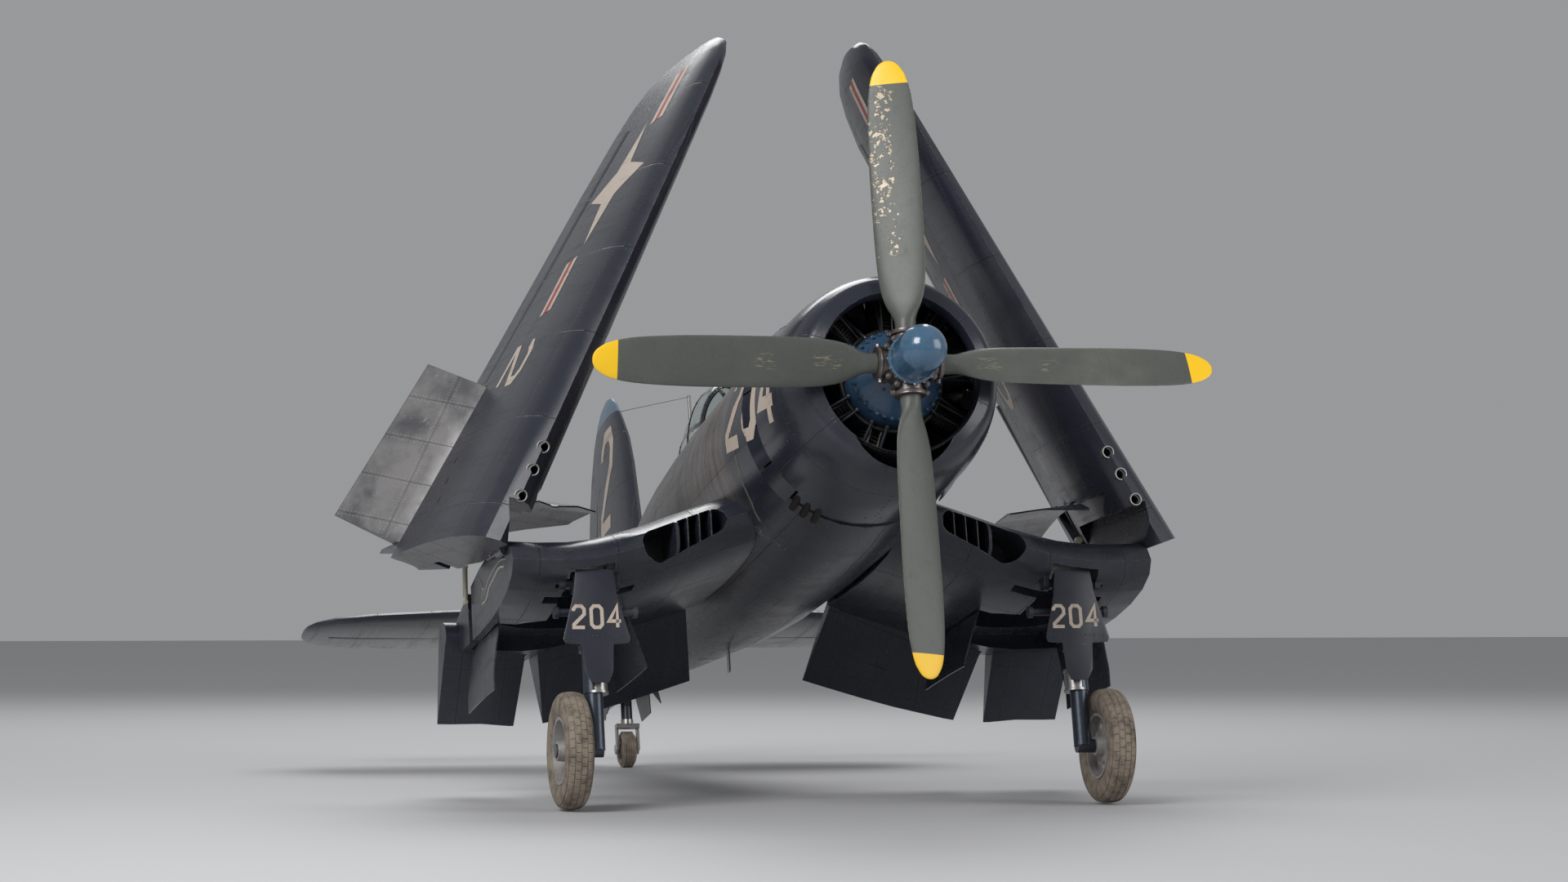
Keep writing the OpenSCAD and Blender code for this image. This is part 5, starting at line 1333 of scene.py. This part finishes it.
def makeFoldPipes(side):
    sign = sides[side]
    ending = side.capitalize()
    pipes = {"wornSteel": [], "ivory": []}
    for metal, radius, line in foldPlan["pipes"]:
        pipes[metal].append(tube([(sign * foldPlan["x"], y, foldHeight(y, above)) for y, above in line], radius))
    for radius, line in foldPlan["raised"]:
        pipes["ivory"].append(tube([(sign * (foldPlan["x"] + out), y, foldHeight(y, above))
                                    for y, out, above in line], radius))
    settle(joined(*pipes["wornSteel"]), "foldPipesSteel" + ending, "wornSteel", "airframe")
    settle(joined(*pipes["ivory"]), "foldPipesIvory" + ending, "ivory", "airframe")
    spots = [facing((sign * foldPlan["x"], y, foldHeight(y, above)), (sign, 0, 0)) for y, above in foldPlan["unions"]]
    settle(copies(boltHead(*foldPlan["union"]), spots), "foldUnions" + ending, "wornSteel", "airframe")
    first, last, above = foldPlan["spring"]
    coil = []
    steps = foldPlan["coilTurns"] * foldPlan["coilSteps"]
    for k in range(steps + 1):
        share = k / steps
        angle = share * 2 * math.pi * foldPlan["coilTurns"]
        y = first + (last - first) * share
        coil.append((sign * (foldPlan["x"] + foldPlan["coilOut"] + foldPlan["coil"] * math.cos(angle)), y,
                     foldHeight(y, above) + foldPlan["coil"] * math.sin(angle)))
    settle(tube(coil, foldPlan["coilWire"], rounds=1), "foldSpring" + ending, "steel", "airframe")


for side in sides:
    makeFoldPipes(side)

# ---- polished sleeve and clamp below each leg fairing
sleevePlan = {"axis": (0.327, 0.409), "sleeve": (-0.300, -0.329, 0.0143),
              "rings": ((-0.3005, 0.0152), (-0.3270, 0.0158)), "ringHeight": 0.0032}


def makeSleeve(side):
    x, y = sleevePlan["axis"][0] * sides[side], sleevePlan["axis"][1]
    top, bottom, radius = sleevePlan["sleeve"]
    bands = [(top, bottom, radius)] + [(z, z - sleevePlan["ringHeight"], r) for z, r in sleevePlan["rings"]]
    parts = []
    for high, low, r in bands:
        bpy.ops.mesh.primitive_cylinder_add(vertices=48, radius=r, depth=high - low, location=(x, y, (high + low) / 2))
        parts.append(bpy.context.object)
    settle(joined(*parts), "legSleeve" + side.capitalize(), "steel", "strut_collar_" + side)


for side in sides:
    makeSleeve(side)

# ---- three case slots under each outer wing, drawn as flat black sheets: painted shade for the dark inside of the open slots
slotPlan = {"places": ((0.575, 0.687), (0.541, 0.668), (0.508, 0.649)), "long": 0.011, "wide": 0.009}


def makeSlots(side):
    corners, faces = [], []
    for x, y in slotPlan["places"]:
        n = len(corners)
        corners += [(x, y - slotPlan["wide"] / 2, 0), (x + slotPlan["long"], y + 0.001, 0),
                    (x, y + slotPlan["wide"] / 2, 0)]
        faces.append((n, n + 1, n + 2))
    # black sheets laid on the skin: painted shade where the slots open
    layOnSkin(flatPiece("slots", corners, faces), "caseSlots" + side.capitalize(), "sootAndSlotShade", "outer_wing_" + side,
              ["outer_wing_" + side], panelPoint(side, False), panel[side], lift=0.0002, spacing=0.004)


for side in sides:
    makeSlots(side)

# ---- a cover over the foothold cut in each inboard flap, drawn with the flap up and turned down with it
stepPlan = {"hingeFrom": Vector((0.112, 0.82168, -0.10094)), "hingeTo": Vector((0.329, 0.80955, -0.16953)),
            "down": 50, "corner": (0.1835, 0.8935), "size": (0.033, 0.031), "thick": 0.0009, "proud": 0.0004}


def makeStepCover(side):
    pin = stepPlan["hingeFrom"]
    turned = (Matrix.Translation(pin)
              @ Matrix.Rotation(math.radians(-stepPlan["down"]), 4, stepPlan["hingeTo"] - pin)
              @ Matrix.Translation(-pin))
    plates = []
    for face in (1, -1):
        def curve(u, v, face=face):
            x = stepPlan["corner"][0] + stepPlan["size"][0] * u
            y = stepPlan["corner"][1] + stepPlan["size"][1] * v
            leading = centreForm["height"] - (x - centreForm["x"]) * centreForm["fall"]
            behind = y - centreForm["leading"]
            share = behind / centreForm["chord"]
            thick = foilHalf(share) * centreForm["thickness"]
            height = leading - behind * math.sin(math.radians(centreForm["incidence"]))
            return x, y, height + (foilCamber(share) + face * thick) * centreForm["chord"] + face * stepPlan["proud"]
        plates.append(sheetPiece("cover", 10, 10, curve, stepPlan["thick"], 0.0))
    cover = joined(*plates)
    cover.data.transform(Matrix.Scale(sides[side], 4, (1, 0, 0)) @ turned)
    if side == "right":
        cover.data.flip_normals()
    settle(cover, "stepCover" + side.capitalize(), "flap", "inboard_flap_" + side)


for side in sides:
    makeStepCover(side)
print("cockpit, fold joints and flaps dressed")

# ---- studio
studio = {"floor": (0.50, 0.50, 0.51, 1), "floorRough": 0.6, "size": 40, "sky": (0.70, 0.71, 0.73, 1),
          "skyStrength": 0.45,
          "lamps": [("key", (-3.2, -3.6, 3.4), (0, 0, 0.5), 2.4, 185), ("fill", (3.6, -3.0, 1.8), (0, 0, 0.4), 2.6, 62),
                    ("rim", (0.5, 3.4, 3.6), (0, 0, 0.6), 2.8, 90)]}     # place, target, size, power
bpy.ops.mesh.primitive_plane_add(size=studio["size"], location=(0, 0, 0))
floor = bpy.context.object
floor.name = "studioFloor"
floorFinish = bpy.data.materials.new("studioFloor")
floorFinish.use_nodes = True
floorShader = floorFinish.node_tree.nodes["Principled BSDF"]
floorShader.inputs["Base Color"].default_value = studio["floor"]
floorShader.inputs["Roughness"].default_value = studio["floorRough"]
floor.data.materials.append(floorFinish)
world = bpy.data.worlds.new("studio")
bpy.context.scene.world = world
world.use_nodes = True
background = world.node_tree.nodes["Background"]
background.inputs["Color"].default_value = studio["sky"]
background.inputs["Strength"].default_value = studio["skyStrength"]


def addLamp(name, place, target, size, power):
    data = bpy.data.lights.new(name, "AREA")
    data.energy = power
    data.size = size
    lamp = bpy.data.objects.new(name, data)
    lamp.location = place
    lamp.rotation_euler = (Vector(target) - Vector(place)).to_track_quat("-Z", "Y").to_euler()
    bpy.context.scene.collection.objects.link(lamp)


for lamp in studio["lamps"]:
    addLamp(*lamp)
bpy.context.scene.view_settings.view_transform = "Standard"
print("studio lit")
